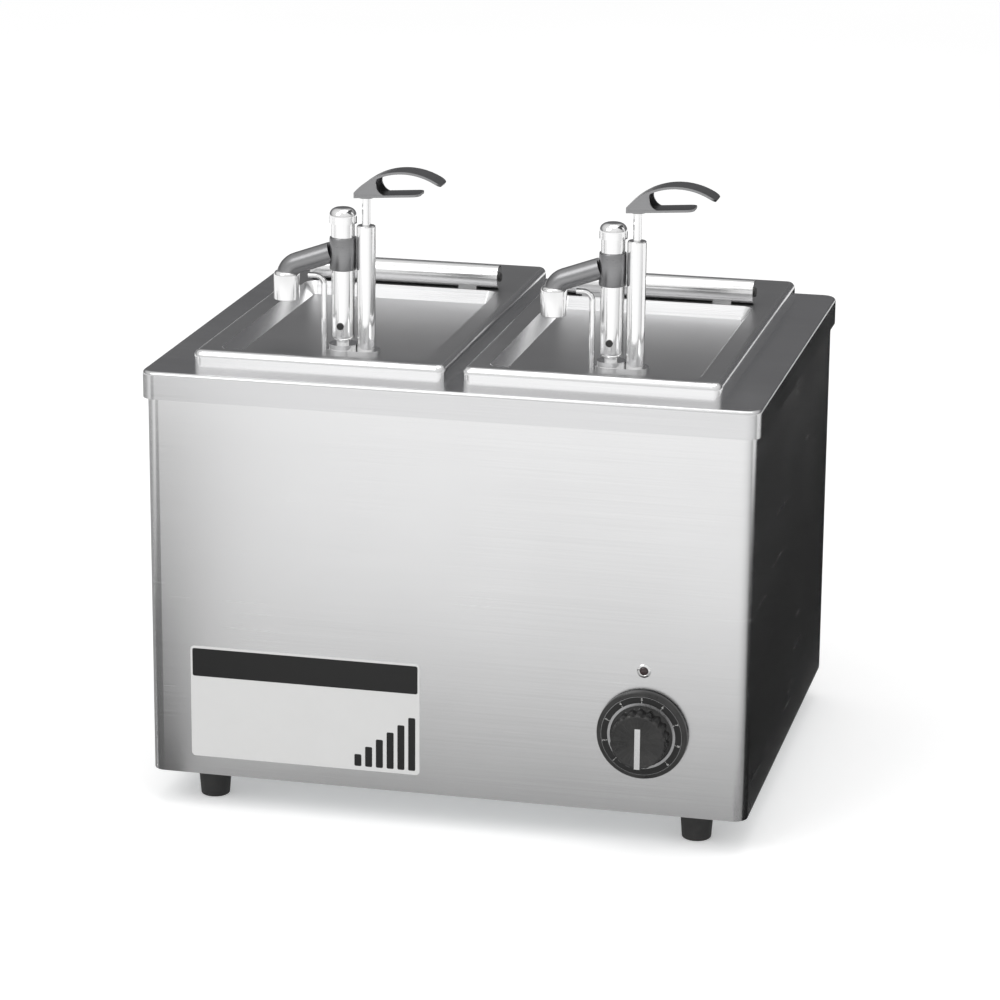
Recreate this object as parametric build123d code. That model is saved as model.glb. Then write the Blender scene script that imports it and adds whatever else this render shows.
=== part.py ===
from build123d import *
import math
import os

# Countertop food pan warmer: a heated stainless cabinet with two third-size pans,
# each under a lift-off lid that carries a hand pump.
# Millimetres. +Z is up and the front faces -Y. Pieces are drawn about the middle of
# the deck's outline at the level of the counter, then moved back by origin_y, so that
# the origin is the middle of the whole unit's outline, dial included.

# Deck
deck_width = 445.0
deck_depth = 368.0
deck_height = 325.0
deck_corner = 11.0
deck_edge_round = 2.6
apron_drop = 20.0
apron_clear = 1.8
sheet = 1.2

# Cabinet
foot_height = 25.0
rear_return = 22.0
rear_lap = 9.0
base_rim = 14.0
fold_clear = 0.2
panel_margin = 1.0
cut_margin = 1.0

# Pans, lids and wells
pan_length = 325.0
pan_width = 176.0
pan_depth = 150.0
pan_rim = 11.5
pan_wall = 1.0
pan_taper = 2.3
pan_corner = 24.0
pan_spacing = 196.0
pan_shift = 3.0
pan_setback = -4.0
pan_rim_corner = 9.0
pan_floor_round = 9.0
opening_clear = 2.0
well_clear = 4.0
well_wall = 1.0
well_gap = 20.0
well_flange = 8.0
lid_lap = 2.8
lid_height = 14.5
lid_corner = 6.5
lid_edge_round = 5.0
recess_border = 17.0
recess_front = 9.0
recess_length = 228.0
recess_depth = 9.0
recess_slope = 7.0
recess_corner = 9.0

# Lid grip rail
rail_radius = 9.0
rail_wall = 1.5
rail_inset = 1.5
rail_setback = 9.5
saddle_length = 14.0
saddle_width = 12.0
saddle_height = 5.0
saddle_spread = 100.0
plug_head_radius = 3.7
plug_head_height = 1.6
plug_head_round = 1.1
plug_shank_radius = 2.4
plug_shank = 4.0

# Pump
pump_inset = 58.5
post_offset = 3.0
riser_spacing = 17.0
post_radius = 8.5
post_bore = 3.0
post_height = 85.0
post_foot_round = 3.0
neck_radius = 5.5
neck_height = 2.9
stem_radius = 4.4
cap_radius = 10.0
cap_height = 11.0
cap_skirt = 5.0
cap_plug = 6.0
running_clear = 0.05
riser_radius = 6.75
riser_bore = 5.0
riser_drop = 5.0
bush_height = 12.0
bush_stand = 4.0
bush_round = 1.0
rod_radius = 3.0
barrel_bore = 10.0
barrel_wall = 2.0
barrel_gap = 8.8
barrel_head = 4.0
valve_clear = 6.0
valve_height = 22.0
valve_radius = 13.0
valve_side_radius = 6.5
ball_radius = 5.0
seat_radius = 4.0
seat_rise = 8.0
ball_room = 6.5
ball_lift = 3.0
cross_port = 2.5
piston_rise = 50.0
piston_height = 12.0
ring_height = 3.0
ring_depth = 2.0
stroke = 18.0
spring_radius = 7.0
spring_wire = 0.8
spring_turns = 6
spring_clear = 0.2
flange_radius = 11.5
flange_side_radius = 10.0
flange_thick = 3.0
collar_radius = 10.5
collar_height = 3.6
clamp_thick = 3.5
dot_rise = 11.0
dot_radius = 2.6
dot_stand = 1.2
dot_sink = 2.0

# Spout and vent
spout_drop = 22.0
spout_fall = 12.0
spout_radius = 7.6
spout_bore = 5.0
spout_reach = 42.0
spout_bend = 12.0
spout_length = 36.0
spout_root = 0.4
nozzle_radius = 9.3
nozzle_height = 21.0
nozzle_round = 3.0
hub_below = 12.0
hub_above = 12.0
hub_wall = 1.25
vent_radius = 2.1
vent_bore = 1.3
vent_offset = 14.2
vent_rise = 55.0
vent_bend = 6.5
vent_hook = 5.0

# Palm lever: heights and places are taken from the rod's axis and the lever's underside
lever_clear = 3.0
lever_heel = 6.5
lever_heel_height = 4.0
lever_peak_x = 28.5
lever_crown = 20.5
lever_tip_x = 57.0
lever_tip_rise = 12.0
lever_width = 20.0
lever_wall = 1.7
lever_corner = 5.0
lever_leg = 41.0
lever_leg_rise = 3.2
lever_web_end = 18.0
lever_web_bite = 8.5
lever_web_inset = 0.3
lever_boss = 5.6
lever_boss_stand = 1.0
lever_socket = 7.0

# Dial, lamp and front plate
dial_inset = 74.5
dial_radius = 32.5
dial_gap = 1.0
dial_skirt = 5.0
dial_skirt_round = 1.6
dial_hub_radius = 20.0
dial_hub_height = 15.0
dial_face = 3.0
dial_flutes = 18
dial_flute_radius = 1.5
scale_inner = 22.5
scale_outer = 29.0
scale_thick = 0.6
pointer_width = 4.0
pointer_thick = 1.0
shaft_radius = 3.0
shaft_depth = 22.0
shaft_end_clear = 0.5
bush_radius = 4.8
bush_reach = 3.0
bush_nut_margin = 2.5
bush_nut_thick = 2.0
nut_clear = 1.5
thermostat_width = 46.0
thermostat_depth = 34.0
thermostat_round = 3.0
lamp_rise = 46.3
lamp_drop = 23.2
lamp_radius = 3.6
lamp_flange = 5.0
lamp_stand = 2.4
lamp_rim = 0.4
lamp_spigot = 2.0
lamp_length = 24.0
plate_width = 171.0
plate_height = 84.0
plate_inset = 31.2
plate_lift = 13.7
plate_thick = 0.7
plate_corner = 3.0

# Heating and wiring
element_radius = 4.0
element_half_width = 42.0
element_half_length = 105.0
element_bend = 30.0
element_corner = 12.0
element_gap = 0.4
element_tail = 18.0
strap_width = 14.0
strap_thick = 1.5
strap_length = 116.0
strap_spread = 120.0
stud_radius = 2.5
stud_offset = 20.0
stud_tail = 3.0
insulation_side = 6.0
insulation_front = 5.8
insulation_back = 13.8
insulation_lift = 5.0
insulation_drop = 20.0
soft_gap = 0.3
bulb_radius = 4.0
bulb_length = 90.0
capillary_radius = 1.2
capillary_root = 1.0
capillary_lead = 30.0
capillary_fall = 45.0
capillary_rise = 18.0
capillary_bend = 12.0
capillary_side = 13.0
terminal_length = 56.0
terminal_depth = 22.0
terminal_height = 18.0
terminal_ways = 4
terminal_inset_x = 109.5
terminal_inset_y = 61.0
terminal_screw_radius = 3.5
terminal_screw_deep = 9.0
terminal_wire_radius = 2.8
terminal_wire_deep = 5.5
terminal_wire_lift = 6.0
wire_radius = 1.6
wire_step = 4.0
wire_lead = 20.0
wire_approach = 30.0
wire_climb = 15.0
wire_bend = 10.0
wire_back_lead = 25.0
wire_back_drop = 12.0

# Feet, gland and screws
foot_top_radius = 12.5
foot_low_radius = 10.5
foot_edge_round = 1.5
foot_inset_x = 39.5
foot_inset_y = 29.0
foot_sink = 6.0
screw_radius = 2.0
screw_head_radius = 4.0
screw_head_height = 2.4
screw_tail = 2.0
nut_height = 3.0
gland_inset = 69.5
gland_lift = 39.0
gland_radius = 8.0
gland_bore = 4.2
gland_flange = 12.0
gland_flange_thick = 4.0
gland_edge_round = 1.2
gland_inside = 9.0
slot_length = 34.0
slot_height = 4.0
slot_pitch = 10.0
slot_rows = 4
slot_columns = 3
slot_column_pitch = 60.0
slot_lift = 61.0

# Sizes worked out from the ones above
deck_under = deck_height - sheet
body_width = deck_width - 2 * (sheet + apron_clear)
body_depth = deck_depth - 2 * (sheet + apron_clear)
body_corner = deck_corner - apron_clear / 2
body_front = -body_depth / 2
body_back = body_depth / 2
wall_inside = body_front + sheet
tray_floor = foot_height + sheet
pan_top = deck_height + pan_wall
pan_floor = pan_top - pan_depth + pan_wall
pan_body_width = pan_width - 2 * pan_rim
pan_body_length = pan_length - 2 * pan_rim
well_width = pan_body_width + 2 * well_clear
well_length = pan_body_length + 2 * well_clear
well_floor = pan_top - pan_depth - well_gap
well_bottom = well_floor - well_wall
element_z = well_bottom - element_gap - element_radius
lid_width = pan_width + 2 * (lid_lap + sheet)
lid_length = pan_length + 2 * (lid_lap + sheet)
lid_top = deck_height + lid_height
lid_front = pan_setback - lid_length / 2
lid_floor = lid_top - recess_depth
recess_width = lid_width - 2 * recess_border
recess_middle = lid_front + recess_front + recess_length / 2
rail_y = lid_front + recess_front + recess_length + rail_setback
rail_z = lid_top + rail_radius
rail_length = recess_width - 2 * rail_inset
pump_y = lid_front + pump_inset
collar_top = lid_floor + flange_thick + collar_height
post_foot = collar_top + neck_height
post_top = post_foot + post_height
riser_top = post_top - riser_drop
barrel_radius = barrel_bore + barrel_wall
barrel_top = lid_floor - sheet - clamp_thick - barrel_gap
valve_bottom = pan_floor + valve_clear
valve_top = valve_bottom + valve_height
seat_height = valve_bottom + seat_rise
piston_bottom = valve_top + piston_rise
piston_radius = barrel_bore - running_clear
ring_bottom = piston_bottom + (piston_height - ring_height) / 2
dot_height = post_foot + dot_rise
spout_z = post_top - spout_drop
lever_bottom = riser_top + bush_stand + stroke + lever_clear
rod_top = lever_bottom + lever_socket
dial_x = body_width / 2 - dial_inset
lamp_z = well_bottom - lamp_drop
dial_z = lamp_z - lamp_rise
hub_front = body_front - dial_gap - dial_skirt - dial_hub_height
origin_y = (-hub_front - deck_depth / 2) / 2
plate_x = plate_inset + plate_width / 2 - body_width / 2
plate_z = foot_height + plate_lift + plate_height / 2
terminal_x = body_width / 2 - terminal_inset_x
terminal_y = body_back - terminal_inset_y
terminal_pitch = terminal_length / terminal_ways
gland_x = body_width / 2 - gland_inset
gland_z = foot_height + gland_lift
sides = {"left": pan_shift - pan_spacing / 2, "right": pan_shift + pan_spacing / 2}

parts = {}


def bar(radius, low, high, x=0.0, y=0.0):
    """Upright round bar between two heights."""
    return Pos(x, y, low) * extrude(Circle(radius), high - low)


def slab(width, depth, low, high, corner, x=0.0, y=0.0):
    """Upright block with rounded corners between two heights."""
    return Pos(x, y, low) * extrude(RectangleRounded(width, depth, corner), high - low)


def block(size, x, y, low):
    """Plain box standing on a height."""
    return Pos(x, y, low + size[2] / 2) * Box(size[0], size[1], size[2])


def rod_y(radius, front, back, x, z):
    """Round bar lying along Y between two depths."""
    return Pos(x, front, z) * Rot(-90, 0, 0) * extrude(Circle(radius), back - front)


def rod_x(radius, left, right, y, z):
    """Round bar lying along X between two places."""
    return Pos(left, y, z) * Rot(0, 90, 0) * extrude(Circle(radius), right - left)


def tube_along(path, radius):
    """Round section swept along a path from its start."""
    start = path.location_at(0).position
    plane = Plane(origin=start, z_dir=path.tangent_at(0))
    return sweep(plane * Circle(radius), path=path)


def top_edges(solid):
    """Edges round the highest face."""
    return solid.faces().sort_by(Axis.Z)[-1].edges()


def bottom_edges(solid):
    """Edges round the lowest face."""
    return solid.faces().sort_by(Axis.Z)[0].edges()


def deck_top():
    """Top plate with its turned-down apron and the two pan openings."""
    low = deck_height - apron_drop
    outer = slab(deck_width, deck_depth, low, deck_height, deck_corner)
    outer = fillet(top_edges(outer), deck_edge_round)
    inner = slab(deck_width - 2 * sheet, deck_depth - 2 * sheet, low, deck_under, deck_corner - sheet)
    inner = fillet(top_edges(inner), deck_edge_round - sheet)
    deck = outer - inner
    for x in sides.values():
        deck -= slab(pan_body_width + 2 * opening_clear, pan_body_length + 2 * opening_clear,
                     low, deck_height, pan_corner + opening_clear, x, pan_setback)
    return deck


def body_wrap():
    """Front and two sides bent from one sheet, with short returns at the back."""
    shell = slab(body_width, body_depth, foot_height, deck_under, body_corner)
    shell -= slab(body_width - 2 * sheet, body_depth - 2 * sheet, foot_height, deck_under,
                  body_corner - sheet)
    height = deck_under - foot_height
    gap = (body_width - 2 * rear_return, 4 * sheet, height)
    shell -= block(gap, 0, body_back, foot_height)
    for radius, z in ((bush_radius, dial_z), (lamp_radius, lamp_z)):
        shell -= rod_y(radius + fold_clear, body_front - sheet, wall_inside + sheet, dial_x, z)
    for x, z in rear_screw_places():
        shell -= rod_y(screw_radius + fold_clear, body_back - 3 * sheet, body_back + sheet, x, z)
    return shell


def rear_screw_places():
    """Places of the six screws that hold the rear panel."""
    x = body_width / 2 - rear_return + rear_lap / 2
    low = foot_height + 2 * base_rim
    high = deck_height - 2 * apron_drop
    return [(side * x, z) for side in (-1, 1) for z in (low, (low + high) / 2, high)]


def rear_panel():
    """Flat back with ventilation slots and the hole for the cord gland."""
    width = body_width - 2 * (rear_return - rear_lap)
    low = foot_height + base_rim + panel_margin
    high = deck_under - panel_margin
    back = body_back - sheet
    panel = block((width, sheet, high - low), 0, back - sheet / 2, low)
    panel -= rod_y(gland_radius, back - 2 * sheet, back + sheet, gland_x, gland_z)
    for column in range(slot_columns):
        x = (column - (slot_columns - 1) / 2) * slot_column_pitch
        for row in range(slot_rows):
            low_edge = foot_height + slot_lift + row * slot_pitch
            panel -= block((slot_length, 4 * sheet, slot_height), x, back, low_edge)
    for x, z in rear_screw_places():
        panel -= rod_y(screw_radius, back - 2 * sheet, back + sheet, x, z)
    return panel


def rear_screws():
    """Six pan-head screws through the cabinet's returns into the rear panel."""
    screws = []
    for x, z in rear_screw_places():
        head = rod_y(screw_head_radius, body_back, body_back + screw_head_height, x, z)
        head = fillet(head.faces().sort_by(Axis.Y)[-1].edges(), screw_head_height / 2)
        screws.append(head + rod_y(screw_radius, body_back - 3 * sheet, body_back, x, z))
    return screws


def foot_places():
    """Centres of the four feet."""
    x = body_width / 2 - foot_inset_x
    y = body_depth / 2 - foot_inset_y
    return [(i * x, j * y) for i in (-1, 1) for j in (-1, 1)]


def base_plate():
    """Bottom tray that closes the cabinet and carries the feet."""
    width = body_width - 2 * (sheet + fold_clear)
    depth = body_depth - 2 * (sheet + fold_clear)
    corner = body_corner - sheet - fold_clear
    tray = slab(width, depth, foot_height, foot_height + base_rim, corner)
    tray -= slab(width - 2 * sheet, depth - 2 * sheet, foot_height + sheet, foot_height + base_rim,
                 corner - sheet)
    for x, y in foot_places():
        tray -= bar(screw_radius + fold_clear, foot_height, foot_height + sheet, x, y)
    return tray


def feet():
    """Four tapered rubber feet, bored for their screws."""
    solids = []
    for x, y in foot_places():
        foot = Pos(x, y, foot_height / 2) * Cone(foot_low_radius, foot_top_radius, foot_height)
        foot = fillet(bottom_edges(foot), foot_edge_round)
        foot -= bar(screw_radius + fold_clear, 0, foot_height, x, y)
        foot -= bar(screw_head_radius + 2 * fold_clear, 0, foot_sink, x, y)
        solids.append(foot)
    return solids


def foot_screws():
    """Screws up through the feet, each with its nut inside the tray."""
    solids = []
    for x, y in foot_places():
        screw = bar(screw_head_radius, foot_sink - screw_head_height, foot_sink, x, y)
        screw += bar(screw_radius, foot_sink, tray_floor + nut_height + screw_tail, x, y)
        nut = Pos(x, y, tray_floor) * extrude(RegularPolygon(screw_head_radius, 6), nut_height)
        solids.append(screw + nut)
    return solids


def pan(x):
    """Third-size pan: a tapered tub hung by its flat rim."""
    tub = Pos(x, pan_setback, pan_top) * extrude(
        RectangleRounded(pan_body_width, pan_body_length, pan_corner), -pan_depth, taper=pan_taper)
    tub = fillet(bottom_edges(tub), pan_floor_round)
    room = Pos(x, pan_setback, pan_top) * extrude(
        RectangleRounded(pan_body_width - 2 * pan_wall, pan_body_length - 2 * pan_wall,
                         pan_corner - pan_wall), pan_wall - pan_depth, taper=pan_taper)
    room = fillet(bottom_edges(room), pan_floor_round - pan_wall)
    rim = slab(pan_width, pan_length, deck_height, pan_top, pan_rim_corner, x, pan_setback)
    return tub + rim - room


def well(x):
    """Heated well that hangs from the underside of the deck."""
    corner = pan_corner + well_clear
    outer = slab(well_width + 2 * well_wall, well_length + 2 * well_wall, well_bottom, deck_under,
                 corner + well_wall, x, pan_setback)
    flange_low = deck_under - well_wall
    margin = 2 * (well_wall + well_flange)
    flange = slab(well_width + margin, well_length + margin, flange_low, deck_under,
                  corner, x, pan_setback)
    room = slab(well_width, well_length, well_floor, deck_under, corner, x, pan_setback)
    return outer + flange - room


def insulation():
    """Mineral wool packed round and between the wells."""
    width = body_width - 2 * (sheet + insulation_side)
    depth = body_depth - 2 * sheet - insulation_front - insulation_back
    middle = (insulation_front - insulation_back) / 2
    low = well_bottom + insulation_lift
    high = deck_under - insulation_drop
    wool = slab(width, depth, low, high, pan_corner, 0, middle)
    for x in sides.values():
        wool -= slab(well_width + 2 * (well_wall + soft_gap), well_length + 2 * (well_wall + soft_gap),
                     low, high, pan_corner + well_clear + well_wall, x, pan_setback)
    return wool


def heating_element(x):
    """Sheathed element bent to a long loop, with its terminals turned down."""
    z = element_z
    low = z - element_tail
    front = pan_setback - element_half_length
    back = pan_setback + element_half_length
    left = x - element_half_width
    right = x + element_half_width
    path = FilletPolyline((left, front, low), (left, front, z), (left, back, z), (right, back, z),
                          (right, front, z), (right, front, low),
                          radius=[element_corner, element_bend, element_bend, element_corner])
    return tube_along(path, element_radius)


def element_straps():
    """Straps that clamp each element up against its well."""
    solids = []
    high = element_z - element_radius
    low = high - strap_thick
    for x in sides.values():
        for side in (-1, 1):
            y = pan_setback + side * strap_spread / 2
            strap = block((strap_length, strap_width, strap_thick), x, y, low)
            for stud in (-1, 1):
                strap += bar(stud_radius, low - stud_tail, well_bottom, x + stud * stud_offset, y)
            solids.append(strap)
    return solids


def thermostat():
    """Thermostat box behind the front panel, with its threaded bush and nut."""
    low = dial_z - thermostat_width / 2
    box = block((thermostat_width, thermostat_depth, thermostat_width), dial_x,
                wall_inside + thermostat_depth / 2, low)
    box = fillet(box.edges().filter_by(Axis.Y), thermostat_round)
    bush = rod_y(bush_radius, body_front - bush_reach, wall_inside, dial_x, dial_z)
    nut = Pos(dial_x, body_front - bush_nut_thick, dial_z) * Rot(-90, 0, 0) * extrude(
        RegularPolygon(bush_radius + bush_nut_margin, 6), bush_nut_thick)
    bore = rod_y(shaft_radius + running_clear, body_front - bush_reach - cut_margin,
                 wall_inside + shaft_depth + shaft_end_clear, dial_x, dial_z)
    return box + bush + nut - bore


def thermostat_bulb():
    """Sensing bulb under the right well and its capillary tube to the thermostat."""
    z = well_bottom - bulb_radius - element_gap
    front = pan_setback - bulb_length / 2
    back = wall_inside + thermostat_depth
    bulb = rod_y(bulb_radius, front, front + bulb_length, sides["right"], z)
    end_x = dial_x + capillary_side
    end_z = dial_z + capillary_rise
    path = FilletPolyline((sides["right"], front + capillary_root, z),
                          (sides["right"], front - capillary_lead, z),
                          (end_x, front - capillary_fall, end_z), (end_x, back, end_z),
                          radius=capillary_bend)
    return bulb + tube_along(path, capillary_radius)


def dial_shaft():
    """Thermostat shaft that the dial turns."""
    return rod_y(shaft_radius, hub_front + dial_face, wall_inside + shaft_depth, dial_x, dial_z)


def dial_knob():
    """Black dial: a broad skirt with a fluted hub."""
    skirt_back = body_front - dial_gap
    skirt_front = skirt_back - dial_skirt
    skirt = rod_y(dial_radius, skirt_front, skirt_back, dial_x, dial_z)
    skirt = fillet(skirt.faces().sort_by(Axis.Y)[0].edges(), dial_skirt_round)
    hub = rod_y(dial_hub_radius, hub_front, skirt_front, dial_x, dial_z)
    for index in range(dial_flutes):
        angle = 2 * math.pi * index / dial_flutes
        x = dial_x + dial_hub_radius * math.cos(angle)
        z = dial_z + dial_hub_radius * math.sin(angle)
        hub -= rod_y(dial_flute_radius, hub_front, skirt_front, x, z)
    knob = skirt + hub
    knob -= rod_y(shaft_radius, hub_front + dial_face, skirt_back, dial_x, dial_z)
    nut_room = bush_radius + bush_nut_margin + nut_clear
    knob -= rod_y(nut_room, body_front - bush_reach - nut_clear, skirt_back, dial_x, dial_z)
    return knob - pointer_strip()


def pointer_strip():
    """Straight strip across the middle of the hub's face and down past its edge."""
    return block((pointer_width, pointer_thick, 2 * dial_hub_radius), dial_x,
                 hub_front + pointer_thick / 2, dial_z - 3 * dial_hub_radius / 2)


def dial_pointer():
    """Bright strip let into the hub's face."""
    return pointer_strip() & rod_y(dial_hub_radius, hub_front, hub_front + pointer_thick, dial_x, dial_z)


def dial_scale():
    """Metal scale ring on the dial's skirt."""
    back = body_front - dial_gap - dial_skirt
    ring = rod_y(scale_outer, back - scale_thick, back, dial_x, dial_z)
    return ring - rod_y(scale_inner, back - scale_thick, back, dial_x, dial_z)


def lamp_lens():
    """Domed lens of the indicator lamp, with its flange on the panel."""
    lens = rod_y(lamp_flange, body_front - lamp_stand, body_front, dial_x, lamp_z)
    lens = fillet(lens.faces().sort_by(Axis.Y)[0].edges(), lamp_stand - lamp_rim)
    return lens + rod_y(lamp_radius, body_front, wall_inside + lamp_spigot, dial_x, lamp_z)


def lamp_body():
    """Lamp housing clipped behind the panel."""
    housing = rod_y(lamp_flange, wall_inside, wall_inside + lamp_length, dial_x, lamp_z)
    return housing - rod_y(lamp_radius, wall_inside, wall_inside + lamp_spigot, dial_x, lamp_z)


def front_plate():
    """Plain plate on the front panel."""
    plate = Pos(plate_x, body_front, plate_z) * Rot(90, 0, 0) * extrude(
        RectangleRounded(plate_width, plate_height, plate_corner), plate_thick)
    return plate


def cord_gland():
    """Bushing in the rear panel where the supply lead would enter."""
    back = body_back - sheet
    gland = rod_y(gland_flange, back, back + gland_flange_thick, gland_x, gland_z)
    gland = fillet(gland.faces().sort_by(Axis.Y)[-1].edges(), gland_edge_round)
    gland += rod_y(gland_radius, back - gland_inside, back, gland_x, gland_z)
    return gland - rod_y(gland_bore, back - gland_inside, back + gland_flange_thick, gland_x, gland_z)


def terminal_way_x(way):
    """Place along the terminal strip of one of its ways."""
    return terminal_x - terminal_length / 2 + (way + 0.5) * terminal_pitch


def terminal_block():
    """Terminal strip on the tray, with its ways moulded in."""
    top = tray_floor + terminal_height
    front = terminal_y - terminal_depth / 2
    strip = block((terminal_length, terminal_depth, terminal_height), terminal_x, terminal_y, tray_floor)
    for way in range(terminal_ways):
        x = terminal_way_x(way)
        strip -= bar(terminal_screw_radius, top - terminal_screw_deep, top, x, terminal_y)
        strip -= rod_y(terminal_wire_radius, front, front + terminal_wire_deep, x,
                       tray_floor + terminal_wire_lift)
    return strip


def wiring():
    """Leads from the terminal strip to the two elements and the thermostat."""
    z = tray_floor + terminal_wire_lift
    front = terminal_y - terminal_depth / 2
    end_y = pan_setback - element_half_length
    end_z = element_z - element_tail
    ends = [sides["left"] + element_half_width, sides["right"] - element_half_width,
            sides["right"] + element_half_width]
    wires = []
    for way, x in enumerate(ends):
        start = terminal_way_x(way)
        low = z + way * wire_step
        path = FilletPolyline((start, front, z), (start, front - wire_lead, low),
                              (x, end_y + wire_approach, low), (x, end_y, low + wire_climb),
                              (x, end_y, end_z), radius=wire_bend)
        wires.append(tube_along(path, wire_radius))
    start = terminal_way_x(len(ends))
    back = wall_inside + thermostat_depth
    low = dial_z - wire_back_drop
    path = FilletPolyline((start, front, z), (start, front - wire_lead, z),
                          (dial_x, back + wire_back_lead, low), (dial_x, back, low), radius=wire_bend)
    wires.append(tube_along(path, wire_radius))
    return wires


def lid(x):
    """Pressed lid with a sunk panel, pierced for the pump and the vent."""
    outer = slab(lid_width, lid_length, deck_height, lid_top, lid_corner, x, pan_setback)
    outer = fillet(top_edges(outer), lid_edge_round)
    inner = slab(lid_width - 2 * sheet, lid_length - 2 * sheet, deck_height, lid_top - sheet,
                 lid_corner - sheet, x, pan_setback)
    inner = fillet(top_edges(inner), lid_edge_round - sheet)
    angle = math.degrees(math.atan(recess_slope / recess_depth))
    dish = Pos(x, recess_middle, lid_top) * extrude(
        RectangleRounded(recess_width + 2 * sheet, recess_length + 2 * sheet, recess_corner + sheet),
        -(recess_depth + sheet), taper=angle)
    room = Pos(x, recess_middle, lid_top) * extrude(
        RectangleRounded(recess_width, recess_length, recess_corner), -recess_depth, taper=angle)
    cover = outer - inner
    cover += dish
    cover -= room
    post_x = x + post_offset
    low = lid_floor - sheet
    cover -= bar(stem_radius + fold_clear, low, lid_floor, post_x, pump_y)
    cover -= bar(riser_radius + fold_clear, low, lid_floor, post_x + riser_spacing, pump_y)
    return cover - bar(vent_radius, low, lid_floor, post_x - vent_offset, pump_y)


def lid_rail(x):
    """Tubular grip rail on two saddles."""
    left = x - rail_length / 2
    right = x + rail_length / 2
    rail = rod_x(rail_radius, left, right, rail_y, rail_z)
    for side in (-1, 1):
        rail += block((saddle_length, saddle_width, saddle_height), x + side * saddle_spread / 2,
                      rail_y, lid_top)
    rail -= rod_x(rail_radius - rail_wall, left + rail_wall, right - rail_wall, rail_y, rail_z)
    return rail - rod_x(plug_shank_radius, left, right, rail_y, rail_z)


def rail_plugs(x):
    """Dark button in each end of the rail."""
    end = x + rail_length / 2
    right = rod_x(plug_head_radius, end, end + plug_head_height, rail_y, rail_z)
    right = fillet(right.faces().sort_by(Axis.X)[-1].edges(), plug_head_round)
    right += rod_x(plug_shank_radius, end - plug_shank, end, rail_y, rail_z)
    return [right, mirror(right, about=Plane.YZ.offset(x))]


def post_and_riser_plate(radius, low, high, post_x):
    """Oval plate round the post and the riser, bored for the post's stem and the riser."""
    riser_x = post_x + riser_spacing
    plate = bar(radius, low, high, post_x, pump_y) + bar(flange_side_radius, low, high, riser_x, pump_y)
    plate += block((riser_spacing, 2 * flange_side_radius, high - low), post_x + riser_spacing / 2,
                   pump_y, low)
    plate -= bar(stem_radius, low, high, post_x, pump_y)
    return plate - bar(riser_radius, low, high, riser_x, pump_y)


def pump_flange(post_x):
    """Oval foot of the pump on the lid's sunk panel, with the collar round the post."""
    high = lid_floor + flange_thick
    oval = post_and_riser_plate(flange_radius, lid_floor, high, post_x)
    collar = bar(collar_radius, high, collar_top, post_x, pump_y)
    collar -= bar(stem_radius, high, collar_top, post_x, pump_y)
    return oval + collar - bar(riser_radius, high, collar_top, post_x + riser_spacing, pump_y)


def pump_clamp(post_x):
    """Clamp plate under the lid."""
    high = lid_floor - sheet
    return post_and_riser_plate(flange_side_radius, high - clamp_thick, high, post_x)


def discharge_post(post_x):
    """Discharge tube: a thin stem in the pan and a thick polished post above the lid."""
    front = pump_y - post_radius
    post = bar(post_radius, post_foot, post_top, post_x, pump_y)
    post = fillet(bottom_edges(post), post_foot_round)
    post += bar(neck_radius, collar_top, post_foot, post_x, pump_y)
    post += bar(stem_radius, valve_top, collar_top, post_x, pump_y)
    post -= bar(post_bore, valve_top, post_top, post_x, pump_y)
    post -= rod_y(dot_radius, front - cut_margin, front + dot_sink, post_x, dot_height)
    return post - rod_x(post_bore, post_x - post_radius - cut_margin, post_x, pump_y, spout_z)


def post_screw(post_x):
    """Small dark screw low on the front of the post."""
    front = pump_y - post_radius
    screw = rod_y(dot_radius, front - dot_stand, front + dot_sink, post_x, dot_height)
    return fillet(screw.faces().sort_by(Axis.Y)[0].edges(), dot_stand / 2)


def post_cap(post_x):
    """Domed cap that plugs the top of the post."""
    dome = bar(cap_radius, post_top, post_top + cap_height, post_x, pump_y)
    dome = fillet(top_edges(dome), cap_height - cap_skirt)
    return dome + bar(post_bore - running_clear, post_top - cap_plug, post_top, post_x, pump_y)


def riser_tube(riser_x):
    """Guide tube that stands beside the post."""
    low = barrel_top - barrel_head
    return bar(riser_radius, low, riser_top, riser_x, pump_y) - bar(riser_bore, low, riser_top,
                                                                    riser_x, pump_y)


def riser_bush(riser_x):
    """Guide bush pressed in the top of the tube."""
    low = riser_top - bush_height
    high = riser_top + bush_stand
    bush = bar(riser_radius, riser_top, high, riser_x, pump_y)
    bush = fillet(top_edges(bush), bush_round)
    bush += bar(riser_bore, low, riser_top, riser_x, pump_y)
    return bush - bar(rod_radius + running_clear, low, high, riser_x, pump_y)


def pump_barrel(riser_x):
    """Pump barrel that hangs in the pan."""
    head_low = barrel_top - barrel_head
    barrel = bar(barrel_radius, valve_top, barrel_top, riser_x, pump_y)
    barrel -= bar(barrel_bore, valve_top, head_low, riser_x, pump_y)
    return barrel - bar(riser_radius, head_low, barrel_top, riser_x, pump_y)


def pump_foot(post_x):
    """Valve block at the barrel's foot, with the inlet seat and the cross passage."""
    riser_x = post_x + riser_spacing
    foot = bar(valve_radius, valve_bottom, valve_top, riser_x, pump_y)
    foot += bar(valve_side_radius, valve_bottom, valve_top, post_x, pump_y)
    foot += block((riser_spacing, 2 * valve_side_radius, valve_height), post_x + riser_spacing / 2,
                  pump_y, valve_bottom)
    foot -= bar(seat_radius, valve_bottom, valve_top, riser_x, pump_y)
    room_top = seat_height + ball_radius + seat_radius + ball_lift
    foot -= bar(ball_room, seat_height, room_top, riser_x, pump_y)
    port_z = seat_height + ball_radius
    foot -= rod_x(cross_port, post_x, riser_x, pump_y, port_z)
    return foot - bar(post_bore, port_z - cross_port, valve_top, post_x, pump_y)


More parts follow.
